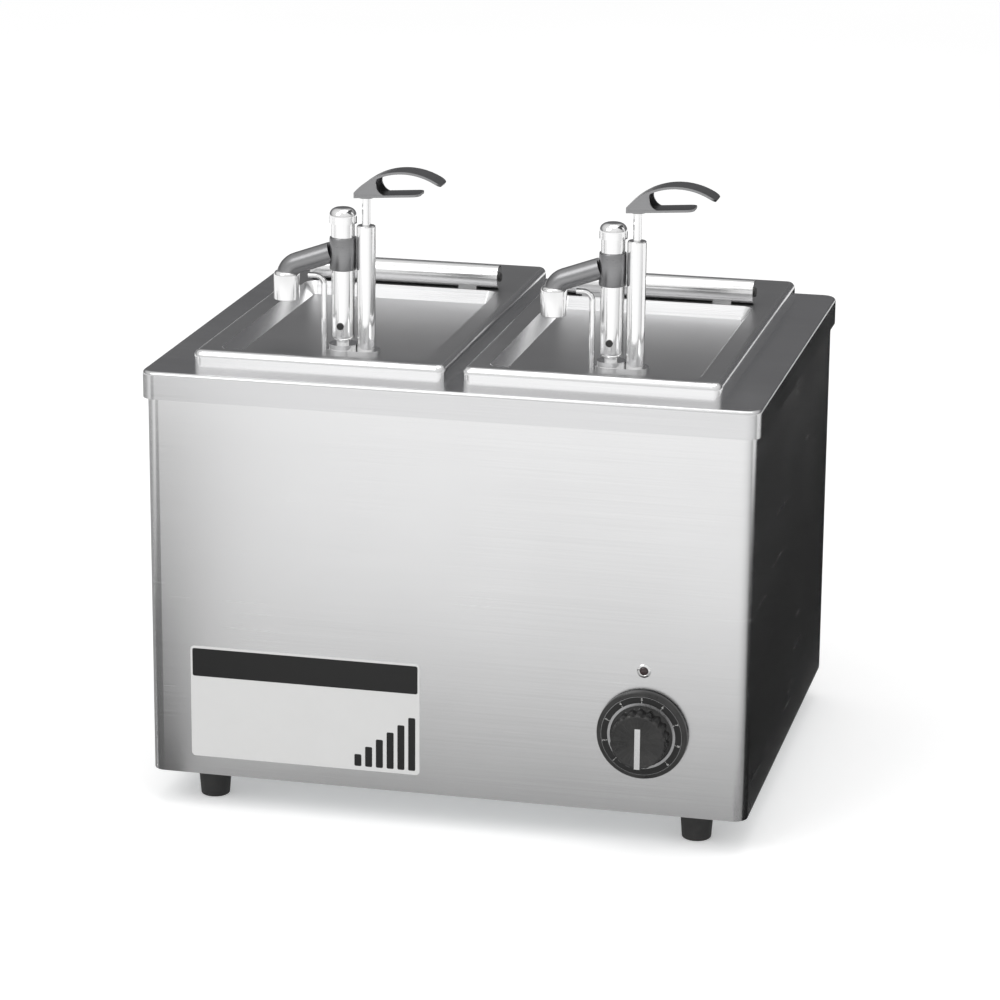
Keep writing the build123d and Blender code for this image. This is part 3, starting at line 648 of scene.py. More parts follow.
@dataclass
class Cabinet:
    """Deck, wrap, rear panel, tray, feet, gland and the cabinet's screws."""

    nodes: dict[str, bpy.types.Object]
    deck_steel: Steel = Steel("deck_satin", grain=Grain.ALONG_X, rough=0.22)
    wrap_steel: Steel = Steel("wrap_brushed", colour=(0.8, 0.8, 0.803), grain=Grain.ROUND_Z, rough=0.24)
    screw_steel: Steel = Steel("screw_plate", colour=(0.56, 0.56, 0.57), grain=Grain.POLISHED, rough=0.3)
    foot_rubber: Moulded = Moulded("foot_rubber_mat", (0.014, 0.014, 0.014), rough=0.7, bump=0.2)
    gland_plastic: Moulded = Moulded("gland_moulded", (0.018, 0.018, 0.018))
    head_radius: float = 4.0 * MM
    head_height: float = 2.4 * MM
    head_edge: float = 0.2 * MM
    head_dome: Pairs = ((0.0, 0.45), (0.25, 0.7), (0.8, 0.9), (1.6, 1.0))
    head_middle: float = 0.6 * MM
    shank_radius: float = 2.0 * MM
    shank_tip: float = 0.4 * MM
    recess_width: float = 1.0 * MM
    recess_depth: float = 1.3 * MM
    recess_reach: float = 2.3 * MM
    recess_corner: float = 0.2 * MM
    recess_taper: float = 0.6
    recess_over: float = 0.1 * MM
    rear_shank: float = 3.6 * MM
    foot_radius: float = 12.5 * MM
    foot_screw_tip: float = 31.2 * MM
    foot_screw_chamfer: float = 0.5 * MM
    foot_screw_head: float = 6.0 * MM
    nut_low: float = 26.2 * MM
    nut_high: float = 29.2 * MM
    nut_edge: float = 0.3 * MM
    nut_sides: int = 6
    low_screw: float = 53.0 * MM
    segments: int = 40
    shank_segments: int = 24

    def build(self) -> None:
        """Dress the sheet metal and make the screws."""
        dress_nodes(self.nodes, (
            (self.deck_steel, ("deck_top",)), (self.wrap_steel, ("body_wrap", "rear_panel")),
            (ZincSheet(), ("base_plate",)), (self.foot_rubber, ("feet",)),
            (self.gland_plastic, ("cord_gland",))))
        self.screws()

    def cross_head(self) -> bpy.types.Mesh:
        """Screw head with a cross recess, its seat at 0 and its top along +Z.

        Returns:
            The head's mesh.
        """
        height, radius, edge = self.head_height, self.head_radius, self.head_edge
        profile = [(self.shank_radius / 2, 0.0), (radius - edge, 0.0), (radius, edge)]
        profile += [(radius - inset * MM, height * share) for inset, share in self.head_dome]
        profile.append((self.head_middle, height))
        blank = new_object("head_blank", turned(profile, Vector(), UP, ACROSS, self.segments))
        long, short = self.recess_reach, self.recess_width / 2
        tools = []
        for half_x, half_y in ((long, short), (short, long)):
            outline = rounded_outline(2 * half_x, 2 * half_y, self.recess_corner, 3)
            floor_z = height - self.recess_depth
            rings = [[Vector((x * share, y * share, z)) for x, y in outline]
                     for share, z in ((self.recess_taper, floor_z), (1.0, height + self.recess_over))]
            bit = new_object("recess_bit", loft(rings))
            cut = blank.modifiers.new("recess", "BOOLEAN")
            cut.operation = "DIFFERENCE"
            cut.object = bit
            tools.append(bit)
        head = applied(blank)
        for helper in [blank] + tools:
            bpy.data.objects.remove(helper)
        return head

    def screws(self) -> None:
        """Six screws in the back and four up through the feet, with their nuts."""
        low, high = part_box("cabinet_screws")
        head = self.cross_head()
        parts: list[MeshData] = []
        back = high.y - self.head_height
        rear_x = high.x - self.head_radius
        top_z = high.z - self.head_radius
        shank, tip = self.shank_radius, self.shank_tip
        for x in (-rear_x, rear_x):
            for z in (self.low_screw, (self.low_screw + top_z) / 2, top_z):
                seat = Matrix.Translation((x, back, z)) @ Matrix.Rotation(-math.pi / 2, 4, "X")
                parts.append(mesh_data(head, seat))
                profile = [(shank, 0.0), (shank, -self.rear_shank + tip), (shank - tip, -self.rear_shank)]
                parts.append(turned(profile, Vector((x, back, z)), -FORWARD, ACROSS, self.shank_segments))
        foot_low, foot_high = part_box("feet")
        foot_x = foot_high.x - self.foot_radius
        for x in (-foot_x, foot_x):
            for y in (foot_low.y + self.foot_radius, foot_high.y - self.foot_radius):
                seat = Matrix.Translation((x, y, self.foot_screw_head)) @ Matrix.Rotation(math.pi, 4, "X")
                parts.append(mesh_data(head, seat))
                parts.extend(self.foot_shank(Vector((x, y, 0))))
        add_piece("cabinet_screw_set", join(parts), self.screw_steel.make(), "cabinet",
                  ["cabinet_screws"])

    def foot_shank(self, foot: Vector) -> list[MeshData]:
        """Shank and nut of one foot screw.

        Args:
            foot: Middle of the foot, at the counter.

        Returns:
            The two meshes.
        """
        radius, edge, tip = self.shank_radius, self.nut_edge, self.foot_screw_chamfer
        top, low, high = self.foot_screw_tip, self.nut_low, self.nut_high
        shank = [(radius, self.foot_screw_head), (radius, top - tip), (radius - tip, top)]
        wide = self.head_radius
        nut = [(radius, low), (wide - edge, low), (wide, low + edge),
               (wide, high - edge), (wide - edge, high), (radius, high)]
        return [turned(shank, foot, UP, ACROSS, self.shank_segments),
                turned(nut, foot, UP, ACROSS, self.nut_sides)]


@dataclass
class Dial:
    """Fluted black dial, its bright pointer and its numbered scale ring."""

    nodes: dict[str, bpy.types.Object]
    grip_plastic: Moulded = Moulded("dial_satin_black", (0.012, 0.012, 0.012), rough=0.3)
    ring_metal: Steel = Steel("dial_ring_bright", (0.5, 0.5, 0.505), Grain.POLISHED, rough=0.22)
    pointer_metal: Steel = Steel("pointer_bright", (0.9, 0.9, 0.9), Grain.LENGTH_Z, rough=0.2)
    shaft_metal: Steel = Steel("shaft_turned", (0.6, 0.6, 0.6), Grain.ALONG_Y)
    band_black: Moulded = Moulded("dial_number_band", (0.008, 0.008, 0.008), rough=0.4, bump=0.03,
                                  dust_share=0.02)
    ink: Moulded = Moulded("dial_figures_pale", (0.6, 0.6, 0.59), rough=0.5, bump=0.03, dust_share=0.05)
    skirt: float = 5.0 * MM
    hub_radius: float = 20.0 * MM
    flutes: int = 18
    flute_depth: float = 1.5 * MM
    flute_start: float = 0.5 * MM
    flute_stop: float = 0.3 * MM
    shaft_hole: float = 3.05 * MM
    shaft_room: float = 14.0 * MM
    nut_room: float = 8.8 * MM
    nut_room_depth: float = 3.5 * MM
    back_edge: float = 0.6 * MM
    skirt_round: Pairs = ((0.0, 1.6), (0.3, 0.7), (0.9, 0.2), (1.6, 0.0))
    hub_foot: Pairs = ((0.9, 0.0), (0.3, 0.25), (0.0, 0.8))
    hub_round: Pairs = ((0.0, 1.6), (0.25, 0.7), (0.9, 0.1), (1.5, 0.0), (2.1, 0.1), (2.7, 0.45))
    middle: float = 0.1 * MM
    segments: int = 360
    band_segments: int = 120
    marks: int = 9
    sweep: float = math.radians(270.0)
    digit_height: float = 2.3 * MM
    font_share: float = 1.35
    digit_radius: float = 27.1 * MM
    tick_inner: float = 24.6 * MM
    tick_outer: float = 25.5 * MM
    tick_width: float = 0.4 * MM
    tick_corner: float = 0.2 * MM
    band_inner: float = 24.4 * MM
    band_outer: float = 28.8 * MM
    band_thick: float = 0.12 * MM
    ink_thick: float = 0.1 * MM

    def build(self) -> None:
        """Make the grip and the marks, and dress the ring, the pointer and the shaft."""
        dress_nodes(self.nodes, (
            (self.ring_metal, ("dial_scale",)), (self.pointer_metal, ("dial_pointer",)),
            (self.shaft_metal, ("dial_shaft",))))
        self.grip()
        self.numbers()

    def grip(self) -> None:
        """Turn the skirt and the fluted hub."""
        low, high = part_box("dial_knob")
        radius = (high.x - low.x) / 2
        depth = high.y - low.y
        centre = box_middle(low, high, high.y)
        hub, root, edge = self.hub_radius, self.skirt, self.back_edge
        profile = [(self.middle, self.shaft_room), (self.shaft_hole, self.shaft_room),
                   (self.shaft_hole, self.nut_room_depth), (self.nut_room, self.nut_room_depth),
                   (self.nut_room, 0.0), (radius - edge, 0.0), (radius, edge)]
        profile += [(radius - inset * MM, root - drop * MM) for inset, drop in self.skirt_round]
        profile += [(hub + out * MM, root + rise * MM) for out, rise in self.hub_foot]
        profile += [(hub - inset * MM, depth - drop * MM) for inset, drop in self.hub_round]
        profile.append((self.middle, profile[-1][1]))
        data = turned(profile, centre, FORWARD, ACROSS, self.segments,
                      lambda angle, place: self.flute(angle, place, root, depth))
        add_piece("dial_grip", data, self.grip_plastic.make(), "dial", ["dial_knob"])

    def flute(self, angle: float, place: float, root: float, depth: float) -> float:
        """Depth of the finger flutes.

        Args:
            angle: Angle round the hub.
            place: Place along the axis.
            root: Place where the hub meets the skirt.
            depth: Place of the hub's face.

        Returns:
            The radius to take away.
        """
        if not root + self.flute_start < place < depth - self.flute_stop:
            return 0.0
        wave = 0.5 + 0.5 * math.cos(angle * self.flutes)
        return self.flute_depth * wave ** 2

    def numbers(self) -> None:
        """Lay a dark band with plain numbers and ticks round the scale ring."""
        low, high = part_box("dial_scale")
        centre = box_middle(low, high, low.y)
        inner, outer, thick = self.band_inner, self.band_outer, self.band_thick
        band = [(inner, 0.0), (inner, thick), (outer, thick), (outer, 0.0), (inner, 0.0)]
        data = turned(band, centre, FORWARD, ACROSS, self.band_segments, closed_ends=False)
        add_piece("dial_number_band", data, self.band_black.make(), "dial")
        centre += FORWARD * thick
        parts: list[MeshData] = []
        for mark in range(self.marks):
            turn = self.sweep * (mark / (self.marks - 1) - 0.5)
            out = Vector((math.sin(turn), 0, math.cos(turn)))
            aside = Vector((math.cos(turn), 0, -math.sin(turn)))
            parts.append(self.tick(centre, out, aside))
            parts.append(self.digit(str(mark + 1), centre, out, aside))
        add_piece("dial_marks", join(parts), self.ink.make(), "dial")

    def tick(self, centre: Vector, out: Vector, aside: Vector) -> MeshData:
        """One tick on the ring.

        Args:
            centre: Middle of the ring's face.
            out: Direction away from the middle.
            aside: Direction across the tick.

        Returns:
            Points and faces.
        """
        middle = centre + out * (self.tick_inner + self.tick_outer) / 2
        outline = rounded_outline(self.tick_width, self.tick_outer - self.tick_inner, self.tick_corner, 3)
        return loft([[middle + FORWARD * reach + aside * x + out * y for x, y in outline]
                     for reach in (-self.ink_thick, self.ink_thick)])

    def digit(self, text: str, centre: Vector, out: Vector, aside: Vector) -> MeshData:
        """One number on the ring, its foot towards the middle.

        Args:
            text: The number.
            centre: Middle of the ring's face.
            out: Direction away from the middle.
            aside: Direction of reading.

        Returns:
            Points and faces.
        """
        curve = bpy.data.curves.new("digit", "FONT")
        curve.body = text
        curve.size = self.digit_height * self.font_share
        curve.align_x = "CENTER"
        curve.align_y = "CENTER"
        curve.extrude = self.ink_thick
        curve.resolution_u = 3
        shape = bpy.data.objects.new("digit", curve)
        bpy.context.scene.collection.objects.link(shape)
        mesh = applied(shape)
        bpy.data.objects.remove(shape)
        place = Matrix((aside, out, FORWARD)).transposed().to_4x4()
        place.translation = centre + out * self.digit_radius
        return mesh_data(mesh, place)


@dataclass
class FrontPanel:
    """Lamp over the dial, and the plate at the lower left."""

    nodes: dict[str, bpy.types.Object]
    plate_white: Moulded = Moulded("plate_enamel_pale", (0.68, 0.68, 0.675), rough=0.42, bump=0.03,
                                   dust_share=0.05)
    plate_black: Moulded = Moulded("plate_enamel_black", (0.006, 0.006, 0.006), rough=0.5, bump=0.03,
                                   dust_share=0.01)
    lamp_plastic: Moulded = Moulded("lamp_case_moulded", (0.05, 0.05, 0.05))
    bezel_steel: Steel = Steel("lamp_bezel_polished", (0.85, 0.85, 0.85), Grain.POLISHED, rough=0.15)
    dome_radius: float = 3.0 * MM
    dome_foot: float = 0.45
    dome_steps: int = 9
    dome_middle: float = 0.05 * MM
    bezel_edge: float = 0.4 * MM
    bezel_shares: tuple[float, ...] = (0.3, 0.45, 0.6, 0.5)
    spigot_radius: float = 3.6 * MM
    lamp_stand: float = 2.4 * MM
    segments: int = 64
    corner: float = 3.0 * MM
    edge: float = 0.3 * MM
    band_share: float = 0.25
    margin: float = 1.6 * MM
    bars: int = 6
    bar_width: float = 5.2 * MM
    bar_pitch: float = 8.0 * MM
    bar_low: float = 9.0 * MM
    bar_rise: float = 6.2 * MM
    bar_corner: float = 1.0 * MM
    print_thick: float = 0.08 * MM

    def build(self) -> None:
        """Make the plate and dress the lamp."""
        dress_nodes(self.nodes, ((self.lamp_plastic, ("lamp_body",)),))
        self.lamp()
        self.plate()

    def lamp(self) -> None:
        """Bright bezel on the panel and the dark dome inside it."""
        low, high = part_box("lamp_lens")
        flange = (high.x - low.x) / 2
        centre = box_middle(low, high, low.y + self.lamp_stand)
        dome, stand, edge = self.dome_radius, self.lamp_stand, self.bezel_edge
        side, shoulder, crest, inside = (stand * share for share in self.bezel_shares)
        ring = [(dome, 0.0), (flange, 0.0), (flange, side), (flange - edge, shoulder),
                (dome + edge, crest), (dome, inside), (dome, 0.0)]
        data = turned(ring, centre, FORWARD, ACROSS, self.segments, closed_ends=False)
        add_piece("lamp_bezel", data, self.bezel_steel.make(), "cabinet")
        spigot = centre.y - high.y
        foot = self.dome_foot
        profile = [(self.spigot_radius, spigot), (self.spigot_radius, 0.0), (dome, 0.0),
                   (dome, stand * foot)]
        for step in range(1, self.dome_steps):
            angle = math.pi / 2 * step / self.dome_steps
            profile.append((dome * math.cos(angle), stand * (foot + (1 - foot) * math.sin(angle))))
        profile.append((self.dome_middle, stand))
        data = turned(profile, centre, FORWARD, ACROSS, self.segments)
        add_piece("lamp_dome", data, Lens().make(), "cabinet", ["lamp_lens"])

    def panel(self, middle: tuple[float, float], size: tuple[float, float], corner: float,
              depths: Profile) -> MeshData:
        """Rounded upright plate built from insets and depths.

        Args:
            middle: Its middle in X and Z.
            size: Its width and height.
            corner: Radius of its corners.
            depths: Inset and Y of each ring.

        Returns:
            Points and faces.
        """
        rings = []
        for inset, y in depths:
            outline = rounded_outline(size[0] - 2 * inset, size[1] - 2 * inset, corner - inset, 6)
            rings.append([Vector((middle[0] + x, y, middle[1] + z)) for x, z in outline])
        return loft(rings)

    def plate(self) -> None:
        """Pale plate with a dark band across the top and a row of rising bars."""
        low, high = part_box("front_plate")
        middle = ((low.x + high.x) / 2, (low.z + high.z) / 2)
        width, height = high.x - low.x, high.z - low.z
        face = low.y + self.print_thick
        base = self.panel(middle, (width, height), self.corner,
                          [(0.0, high.y), (0.0, face + self.edge), (self.edge, face)])
        add_piece("plate_face", base, self.plate_white.make(), "cabinet", ["front_plate"])
        band = height * self.band_share
        inner = width - 2 * self.margin
        depths = [(0.0, face), (0.0, low.y)]
        top = high.z - self.margin - band / 2
        fields = [self.panel((middle[0], top), (inner, band), self.corner / 2, depths)]
        right = high.x - self.margin - self.bar_width / 2 - self.margin
        for index in range(self.bars):
            tall = self.bar_low + self.bar_rise * (self.bars - 1 - index)
            x = right - index * self.bar_pitch
            z = low.z + 2 * self.margin + tall / 2
            fields.append(self.panel((x, z), (self.bar_width, tall), self.bar_corner, depths))
        add_piece("plate_bands", join(fields), self.plate_black.make(), "cabinet")


@dataclass
class Interior:
    """What the cabinet holds: wells, elements, wool, thermostat and wiring."""

    nodes: dict[str, bpy.types.Object]
    well_steel: Steel = Steel("well_drawn", rough=0.3, grain=Grain.POLISHED)
    copper: Steel = Steel("bulb_copper", colour=(0.72, 0.38, 0.24), grain=Grain.ALONG_Y, rough=0.3)
    case: Moulded = Moulded("thermostat_phenolic", (0.07, 0.05, 0.04), rough=0.5)
    strip: Moulded = Moulded("terminal_moulded", (0.7, 0.68, 0.58), rough=0.45)
    sleeve: Moulded = Moulded("wire_silicone", (0.42, 0.05, 0.035), rough=0.5)
    voxel: float = 6.0 * MM
    slump: float = 1.2 * MM
    tuft: float = 1.4 * MM
    tuft_scale: float = 45.0

    def build(self) -> None:
        """Dress the inner pieces and lay the wool."""
        dress_nodes(self.nodes, (
            (ZincSheet("strap_zinc"), ("element_straps",)),
            (self.well_steel, tuple(side.node("well") for side in Side)),
            (BakedSheath(), tuple(side.node("element") for side in Side)),
            (self.case, ("thermostat",)), (self.copper, ("thermostat_bulb",)),
            (self.strip, ("terminal_block",)), (self.sleeve, ("wiring",))))
        self.wool()

    def wool(self) -> None:
        """Lay the wool: the space round the wells, with a tufted uneven surface."""
        copy = bpy.data.objects.new("wool_blank", self.nodes["insulation"].data.copy())
        bpy.context.scene.collection.objects.link(copy)
        grid = copy.modifiers.new("grid", "REMESH")
        grid.mode = "VOXEL"
        grid.voxel_size = self.voxel
        mesh = applied(copy)
        bpy.data.objects.remove(copy)
        moved = []
        for vertex in mesh.vertices:
            tuft = 0.5 + 0.5 * noise.noise(vertex.co * self.tuft_scale)
            moved.append(vertex.co - vertex.normal * (self.slump + self.tuft * tuft))
        faces = [list(face.vertices) for face in mesh.polygons]
        wool = add_piece("wool_blanket", (moved, faces), Wool().make(), "cabinet",
                         ["insulation"])
        wool.data.shade_smooth()


@dataclass
class StationFinishes:
    """Finishes that both stations share, each made once."""

    recipes: tuple[tuple[str, Finish], ...] = (
        # The lid's level faces carry a painted shade.
        ("lid_steel", SatinSteelPaintedShadeFlats("lid_satin_painted_shade", (0.82, 0.82, 0.825), Grain.ALONG_X, rough=0.2, bump=0.02)),
        ("rail_steel", Steel("rail_polished", (0.92, 0.92, 0.92), Grain.ALONG_X, rough=0.16, bump=0.015)),
        ("pan_steel", Steel("pan_drawn", grain=Grain.POLISHED, rough=0.22)),
        ("pump_steel", Steel("pump_mirror", (0.9, 0.9, 0.9), Grain.LENGTH_Z, rough=0.12, bump=0.012)),
        # Painted shade: the arm's and lever's steel is given a dark colour.
        ("arm_steel", Steel("arm_steel_painted_shade", (0.3, 0.3, 0.305), Grain.ALONG_X, rough=0.3, bump=0.02)),
        ("button", Moulded("button_black", (0.012, 0.012, 0.012), rough=0.35)),
        ("seal", Moulded("piston_turned", (0.8, 0.79, 0.75), rough=0.4)),
    )
    made: dict[str, bpy.types.Material] = field(default_factory=dict)

    def __post_init__(self) -> None:
        """Make every finish."""
        for word, finish in self.recipes:
            self.made[word] = finish.make()


@dataclass
class Spout:
    """Swivelling spout: arm on its hub, its steel darkened as painted shade, and the bright nozzle at its
    end.
    """

    side: Side
    finishes: StationFinishes
    hub_radius: float = 9.8 * MM
    bore: float = 8.6 * MM
    hub_height: float = 24.0 * MM
    hub_round: float = 1.2 * MM
    arm_radius: float = 7.6 * MM
    arm_bore: float = 5.0 * MM
    fall: float = 12.0 * MM
    reach: float = 42.0 * MM
    length: float = 36.0 * MM
    bend: float = 12.0 * MM
    nozzle_radius: float = 9.3 * MM
    nozzle_height: float = 21.0 * MM
    nozzle_round: float = 3.0 * MM
    nozzle_lip: float = 0.5 * MM
    nozzle_steps: int = 5
    nozzle_inside: Pairs = ((0.7, 0.0), (0.7, 1.0), (1.0, 2.5))
    soft_share: float = 0.3
    arc_steps: int = 14
    segments: int = 56

    def build(self) -> None:
        """Make the arm with its hub, and the nozzle."""
        node = self.side.node("spout")
        low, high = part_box(node)
        axis = Vector((high.x - self.hub_radius, (low.y + high.y) / 2, high.z - self.hub_height / 2))
        line = self.line(axis)
        made = self.finishes.made
        data = join([self.hub(axis), self.arm(line)])
        # The arm wears the steel with the painted shade.
        add_piece(node + "_arm", data, made["arm_steel"], node, [node])
        add_piece(node + "_nozzle", self.nozzle(line[-1]), made["pump_steel"], node)

    def line(self, axis: Vector) -> list[Vector]:
        """Middle line of the arm, from the hub to the outlet.

        Args:
            axis: Middle of the hub.

        Returns:
            The points.
        """
        start = axis + Vector((-self.bore, 0, 0))
        corner = axis + Vector((-self.reach, 0, -self.fall))
        end = axis + Vector((-self.reach, 0, -self.length))
        first = (start - corner).normalized()
        second = (end - corner).normalized()
        half = first.angle(second) / 2
        run = self.bend / math.tan(half)
        middle = corner + (first + second).normalized() * (self.bend / math.sin(half))
        from_point = corner + first * run - middle
        to_point = corner + second * run - middle
        sweep = from_point.angle(to_point)
        turn = from_point.cross(to_point).normalized()
        points = [start, start.lerp(corner + first * run, 0.5)]
        for step in range(self.arc_steps + 1):
            points.append(middle + Matrix.Rotation(sweep * step / self.arc_steps, 3, turn) @ from_point)
        points.append(end)
        return points

    def section(self, line: list[Vector], index: int, radius: float) -> list[Vector]:
        """Ring square to the line at one of its points.

        Args:
            line: The line.
            index: Which point.
            radius: Radius of the ring.

        Returns:
            The ring.
        """
        before = line[max(index - 1, 0)]
        after = line[min(index + 1, len(line) - 1)]
        along = (after - before).normalized()
        across = Vector((0, 1, 0))
        side = along.cross(across)
        turn = 2 * math.pi / self.segments
        return [line[index] + (across * math.cos(step * turn) + side * math.sin(step * turn)) * radius
                for step in range(self.segments)]

    def arm(self, line: list[Vector]) -> MeshData:
        """Tube along the line, open at the outlet.

        Args:
            line: The arm's middle line.

        Returns:
            Points and faces.
        """
        outside = [self.section(line, index, self.arm_radius) for index in range(len(line))]
        inside = [self.section(line, index, self.arm_bore) for index in reversed(range(1, len(line)))]
        return loft(outside + inside)

    def hub(self, axis: Vector) -> MeshData:
        """Sleeve round the post, its edges rounded.

        Args:
            axis: Middle of the hub.

        Returns:
            Points and faces.
        """
        wide, half, soft = self.hub_radius, self.hub_height / 2, self.hub_round
        less = soft * self.soft_share
        rim = [(wide - soft, half), (wide - less, half - less), (wide, half - soft)]
        low_rim = [(radius, -place) for radius, place in rim]
        profile = [(self.bore, -half), *low_rim, *reversed(rim), (self.bore, half), (self.bore, -half)]
        return turned(profile, axis, UP, ACROSS, self.segments, closed_ends=False)

    def nozzle(self, outlet: Vector) -> MeshData:
        """Bright sleeve on the arm's end.

        Args:
            outlet: Middle of the outlet.

        Returns:
            Points and faces.
        """
        radius, top, soft, lip = self.nozzle_radius, self.nozzle_height, self.nozzle_round, self.nozzle_lip
        profile = [(self.arm_radius, 0.0), (radius - lip, 0.0), (radius, lip), (radius, top - soft)]
        for step in range(1, self.nozzle_steps + 1):
            angle = math.pi / 2 * step / self.nozzle_steps
            profile.append((radius - soft + soft * math.cos(angle), top - soft + soft * math.sin(angle)))
        profile += [(self.arm_radius * share, top - drop * MM) for share, drop in self.nozzle_inside]
        profile.append((self.arm_radius, 0.0))
        return turned(profile, outlet, UP, ACROSS, self.segments, closed_ends=False)


@dataclass
class PanStation:
    """One pan with its lid, grip rail and pump."""

    nodes: dict[str, bpy.types.Object]
    side: Side
    finishes: StationFinishes
    dressing: tuple[tuple[str, tuple[str, ...]], ...] = (
        ("lid_steel", ("lid",)),
        ("rail_steel", ("lid_rail",)),
        ("pan_steel", ("pan", "pump_barrel", "pump_foot")),
        ("pump_steel", ("discharge_post", "post_cap", "riser_tube", "riser_bush", "plunger_rod",
                        "pump_flange", "vent_tube", "inlet_ball", "return_spring")),
        # The lever also wears the arm's steel with its painted shade.
        ("arm_steel", ("pump_lever",)),
        ("button", ("lid_plugs",)),
        ("seal", ("piston",)),
    )

    def build(self) -> None:
        """Dress every piece of the station and make its spout."""
        for finish, words in self.dressing:
            for word in words:
                dress(self.nodes[self.side.node(word)], self.finishes.made[finish])
        Spout(self.side, self.finishes).build()


@dataclass
class Studio:
    """Floor, lights, cards and the camera at the photograph's angle."""

    yaw: float = 0.22882
    pitch: float = 0.28288
    roll: float = 0.00814
    distance: float = 2.78303
    aim: Vector = field(default_factory=lambda: Vector((0.0, 0.009, 0.165)))
    slide_right: float = -0.00165
    slide_up: float = 0.028745
    focal_pixels: float = 3694.98
    frame_pixels: float = 1000.0
    sensor: float = 36.0
    floor_size: float = 60.0
    sky_tilt: float = 0.6
    sky: tuple[tuple[float, Colour], ...] = (
        (0.0, (0.1, 0.1, 0.105)), (0.32, (0.2, 0.2, 0.205)),
        (0.55, (0.7, 0.7, 0.7)), (1.0, (1.0, 1.0, 1.0)))
    sky_strength: float = 0.9
    seeing_rays: tuple[str, ...] = ("Camera", "Glossy", "Transmission")
    floor_glow: float = 0.28
    floor_glow_unseen: float = 0.12
    key_place: Vector = field(default_factory=lambda: Vector((-1.3, -1.9, 2.2)))
    key_size: float = 1.6
    key_power: float = 15.0
    top_place: Vector = field(default_factory=lambda: Vector((0.2, -0.1, 2.6)))
    top_size: float = 1.8
    top_power: float = 12.0
    card_height: float = 2.0 * MM
    places_and_shades: tuple[tuple[str, Rectangle, Pairs], ...] = (
        ("right_card", (0.224, -0.3, 0.9, 2.4), ((0.0, 0.012), (1.0, 0.008))),
        ("front_card", (-2.0, -1.3, 4.0, 1.12), ((0.0, 1.0), (0.45, 0.95), (1.0, 0.38))),
        ("side_card", (-1.6, -0.165, 1.375, 2.0), ((0.0, 0.3), (0.4, 0.5), (1.0, 0.8))),
        ("back_card", (-0.22, 0.2, 0.44, 1.6), ((0.0, 0.3), (0.3, 0.55), (1.0, 0.8))),
    )
    strip_shades: Pairs = ((0.0, 0.22), (1.0, 0.12))
    strip_height: float = 4.0 * MM
    strip_x: float = -0.195
    strip_top: float = 0.31
    strip_width: float = 0.5
    front_y: float = -0.172

    def camera(self) -> None:
        """Place the camera and make it the scene's own."""
        forward = Vector((-math.sin(self.yaw) * math.cos(self.pitch),
                          math.cos(self.yaw) * math.cos(self.pitch), -math.sin(self.pitch)))
        right = Vector((math.cos(self.yaw), math.sin(self.yaw), 0.0))
        up = right.cross(forward)
        turned_right = right * math.cos(self.roll) + up * math.sin(self.roll)
        turned_up = up * math.cos(self.roll) - right * math.sin(self.roll)
        place = self.aim - forward * self.distance
        place += turned_right * self.slide_right + turned_up * self.slide_up
        data = bpy.data.cameras.new("camera")
        data.sensor_width = self.sensor
        data.lens = self.focal_pixels / self.frame_pixels * self.sensor
        camera = bpy.data.objects.new("camera", data)
        axes = Matrix((turned_right, turned_up, -forward)).transposed().to_4x4()
        camera.matrix_world = Matrix.Translation(place) @ axes
        bpy.context.scene.collection.objects.link(camera)
        bpy.context.scene.camera = camera

    def world(self) -> None:
        """Light the studio: pale above and in front, dark low down behind."""
        world = bpy.data.worlds.new("studio")
        bpy.context.scene.world = world
        world.use_nodes = True
        nodes = NodeTree(world.node_tree)
        where = nodes.add("TexCoord", "Generated")
        lean = nodes.add("VectorMath", "Value", {0: where, 1: (0.0, -self.sky_tilt, 1.0)}, "DOT_PRODUCT")
        colour = nodes.ramp(nodes.mapped(lean, -self.sky_tilt, 1.0), self.sky)
        inputs = nodes.tree.nodes["Background"].inputs
        nodes.tree.links.new(colour, inputs["Color"])
        inputs["Strength"].default_value = self.sky_strength

    def sheet(self, name: str, corners: Profile, height: float) -> bpy.types.Object:
        """Lay one level sheet that belongs to the studio.

        Args:
            name: The sheet's name.
            corners: X and Y of its corners, in order.
            height: Its height.

        Returns:
            The sheet.
        """
        mesh = bpy.data.meshes.new(name)
        mesh.from_pydata([(x, y, height) for x, y in corners], [], [list(range(len(corners)))])
        sheet = bpy.data.objects.new(name, mesh)
        bpy.context.scene.collection.objects.link(sheet)
        return sheet

    def corners(self, place: Rectangle) -> Profile:
        """Corners of a rectangle.

        Args:
            place: Its lowest X and Y, its width and its depth.

        Returns:
            X and Y of the corners, in order.
        """
        low_x, low_y, width, depth = place
        high_x, high_y = low_x + width, low_y + depth
        return [(low_x, low_y), (high_x, low_y), (high_x, high_y), (low_x, high_y)]

    def floor(self) -> None:
        """Lay the pale floor that keeps the object's shadow."""
        half = self.floor_size / 2
        floor = self.sheet("floor", self.corners((-half, -half, self.floor_size, self.floor_size)), 0.0)
        shop = NodeShop("floor_pale")
        cloud = shop.noise(shop.coords(), 1.2, 3.0, 0.5)
        shop.feed("Base Color", shop.ramp(cloud, ((0.3, (0.92, 0.92, 0.92)), (0.7, (0.94, 0.94, 0.94)))))
        shop.set("Roughness", 0.9)
        shop.set("Specular IOR Level", 0.0)
        seen = shop.total([shop.add("LightPath", f"Is {ray} Ray") for ray in self.seeing_rays])
        shop.feed("Emission Strength", shop.spread(seen, self.floor_glow_unseen, self.floor_glow))
        shop.set("Emission Color", (1.0, 1.0, 1.0, 1.0))
        floor.data.materials.append(shop.material)

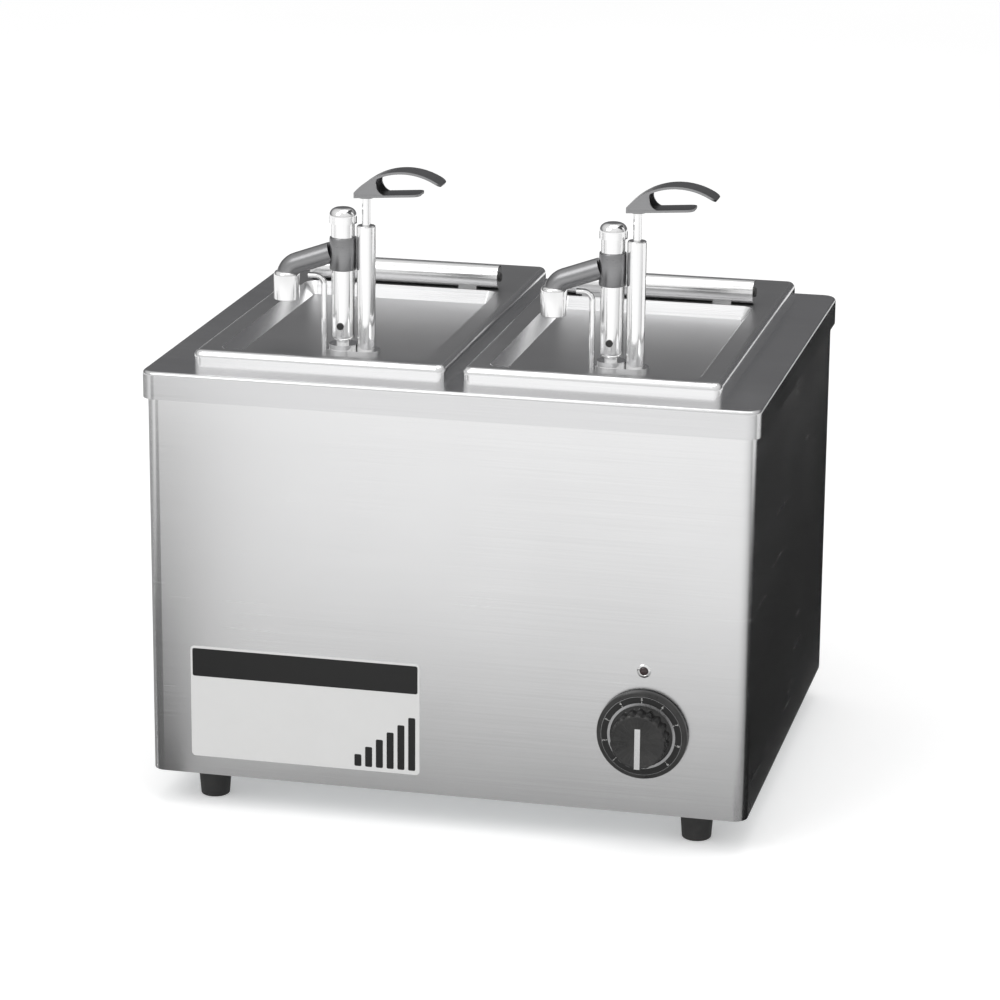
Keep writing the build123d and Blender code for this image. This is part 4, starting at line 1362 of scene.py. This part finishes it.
    def card(self, name: str, corners: Profile, shades: Pairs, height: float) -> None:
        """Lay a grey card by the object; only mirrored light sees it.

        Args:
            name: The card's name.
            corners: X and Y of its corners, in order.
            shades: Places from 0 at the lowest Y to 1 at the highest, each with its grey.
            height: Its height.
        """
        card = self.sheet(name, corners, height)
        shop = NodeShop(name + "_paper")
        along = shop.along_y(min(y for _, y in corners), max(y for _, y in corners))
        shop.feed("Base Color", shop.ramp(along, tuple((at, (grey, grey, grey)) for at, grey in shades)))
        shop.set("Roughness", 0.9)
        shop.set("Specular IOR Level", 0.0)
        card.data.materials.append(shop.material)
        card.visible_camera = False
        card.visible_diffuse = False
        card.visible_shadow = False
        card.visible_transmission = False

    def mirrored(self, x: float, z: float) -> tuple[float, float]:
        """Place on the floor that the front panel mirrors to the camera.

        Args:
            x: Place on the panel, across.
            z: Place on the panel, up.

        Returns:
            X and Y on the floor.
        """
        eye = bpy.context.scene.camera.matrix_world.translation
        behind = Vector((eye.x, 2 * self.front_y - eye.y, eye.z))
        share = eye.z / (eye.z - z)
        floor = behind + (Vector((x, self.front_y, z)) - behind) * share
        return floor.x, floor.y

    def cards(self) -> None:
        """Lay the dark card at the right, graded ones on the other sides and the strip at the left."""
        for name, place, shades in self.places_and_shades:
            self.card(name, self.corners(place), shades, self.card_height)
        near = self.mirrored(self.strip_x, 0.0)
        far = self.mirrored(self.strip_x, self.strip_top)
        strip = [near, far, (far[0] - self.strip_width, far[1]), (near[0] - self.strip_width, near[1])]
        self.card("left_card", strip, self.strip_shades, self.strip_height)

    def lamp(self, name: str, place: Vector, size: float, power: float) -> None:
        """Hang one soft square lamp.

        Args:
            name: The lamp's name.
            place: Where it hangs; it points at the camera's aim.
            size: Side of the square, in metres.
            power: Watts.
        """
        data = bpy.data.lights.new(name, "AREA")
        data.size = size
        data.energy = power
        lamp = bpy.data.objects.new(name, data)
        lamp.location = place
        lamp.rotation_mode = "QUATERNION"
        lamp.rotation_quaternion = (self.aim - place).to_track_quat("-Z", "Y")
        bpy.context.scene.collection.objects.link(lamp)

    def build(self) -> None:
        """Set up the whole studio."""
        self.camera()
        self.world()
        self.floor()
        self.cards()
        self.lamp("key_softbox", self.key_place, self.key_size, self.key_power)
        self.lamp("top_softbox", self.top_place, self.top_size, self.top_power)
        bpy.context.scene.view_settings.view_transform = "Standard"
        LOG.info("studio: camera, floor, cards and lamps")


def main() -> None:
    """Build the studio and every sub-assembly."""
    logging.basicConfig(level=logging.INFO, format="%(message)s")
    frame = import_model()
    nodes = frame["nodes"]
    Studio().build()
    Cabinet(nodes).build()
    Dial(nodes).build()
    FrontPanel(nodes).build()
    Interior(nodes).build()
    shared = StationFinishes()
    for side in Side:
        PanStation(nodes, side, shared).build()


if __name__ == "__main__":
    main()
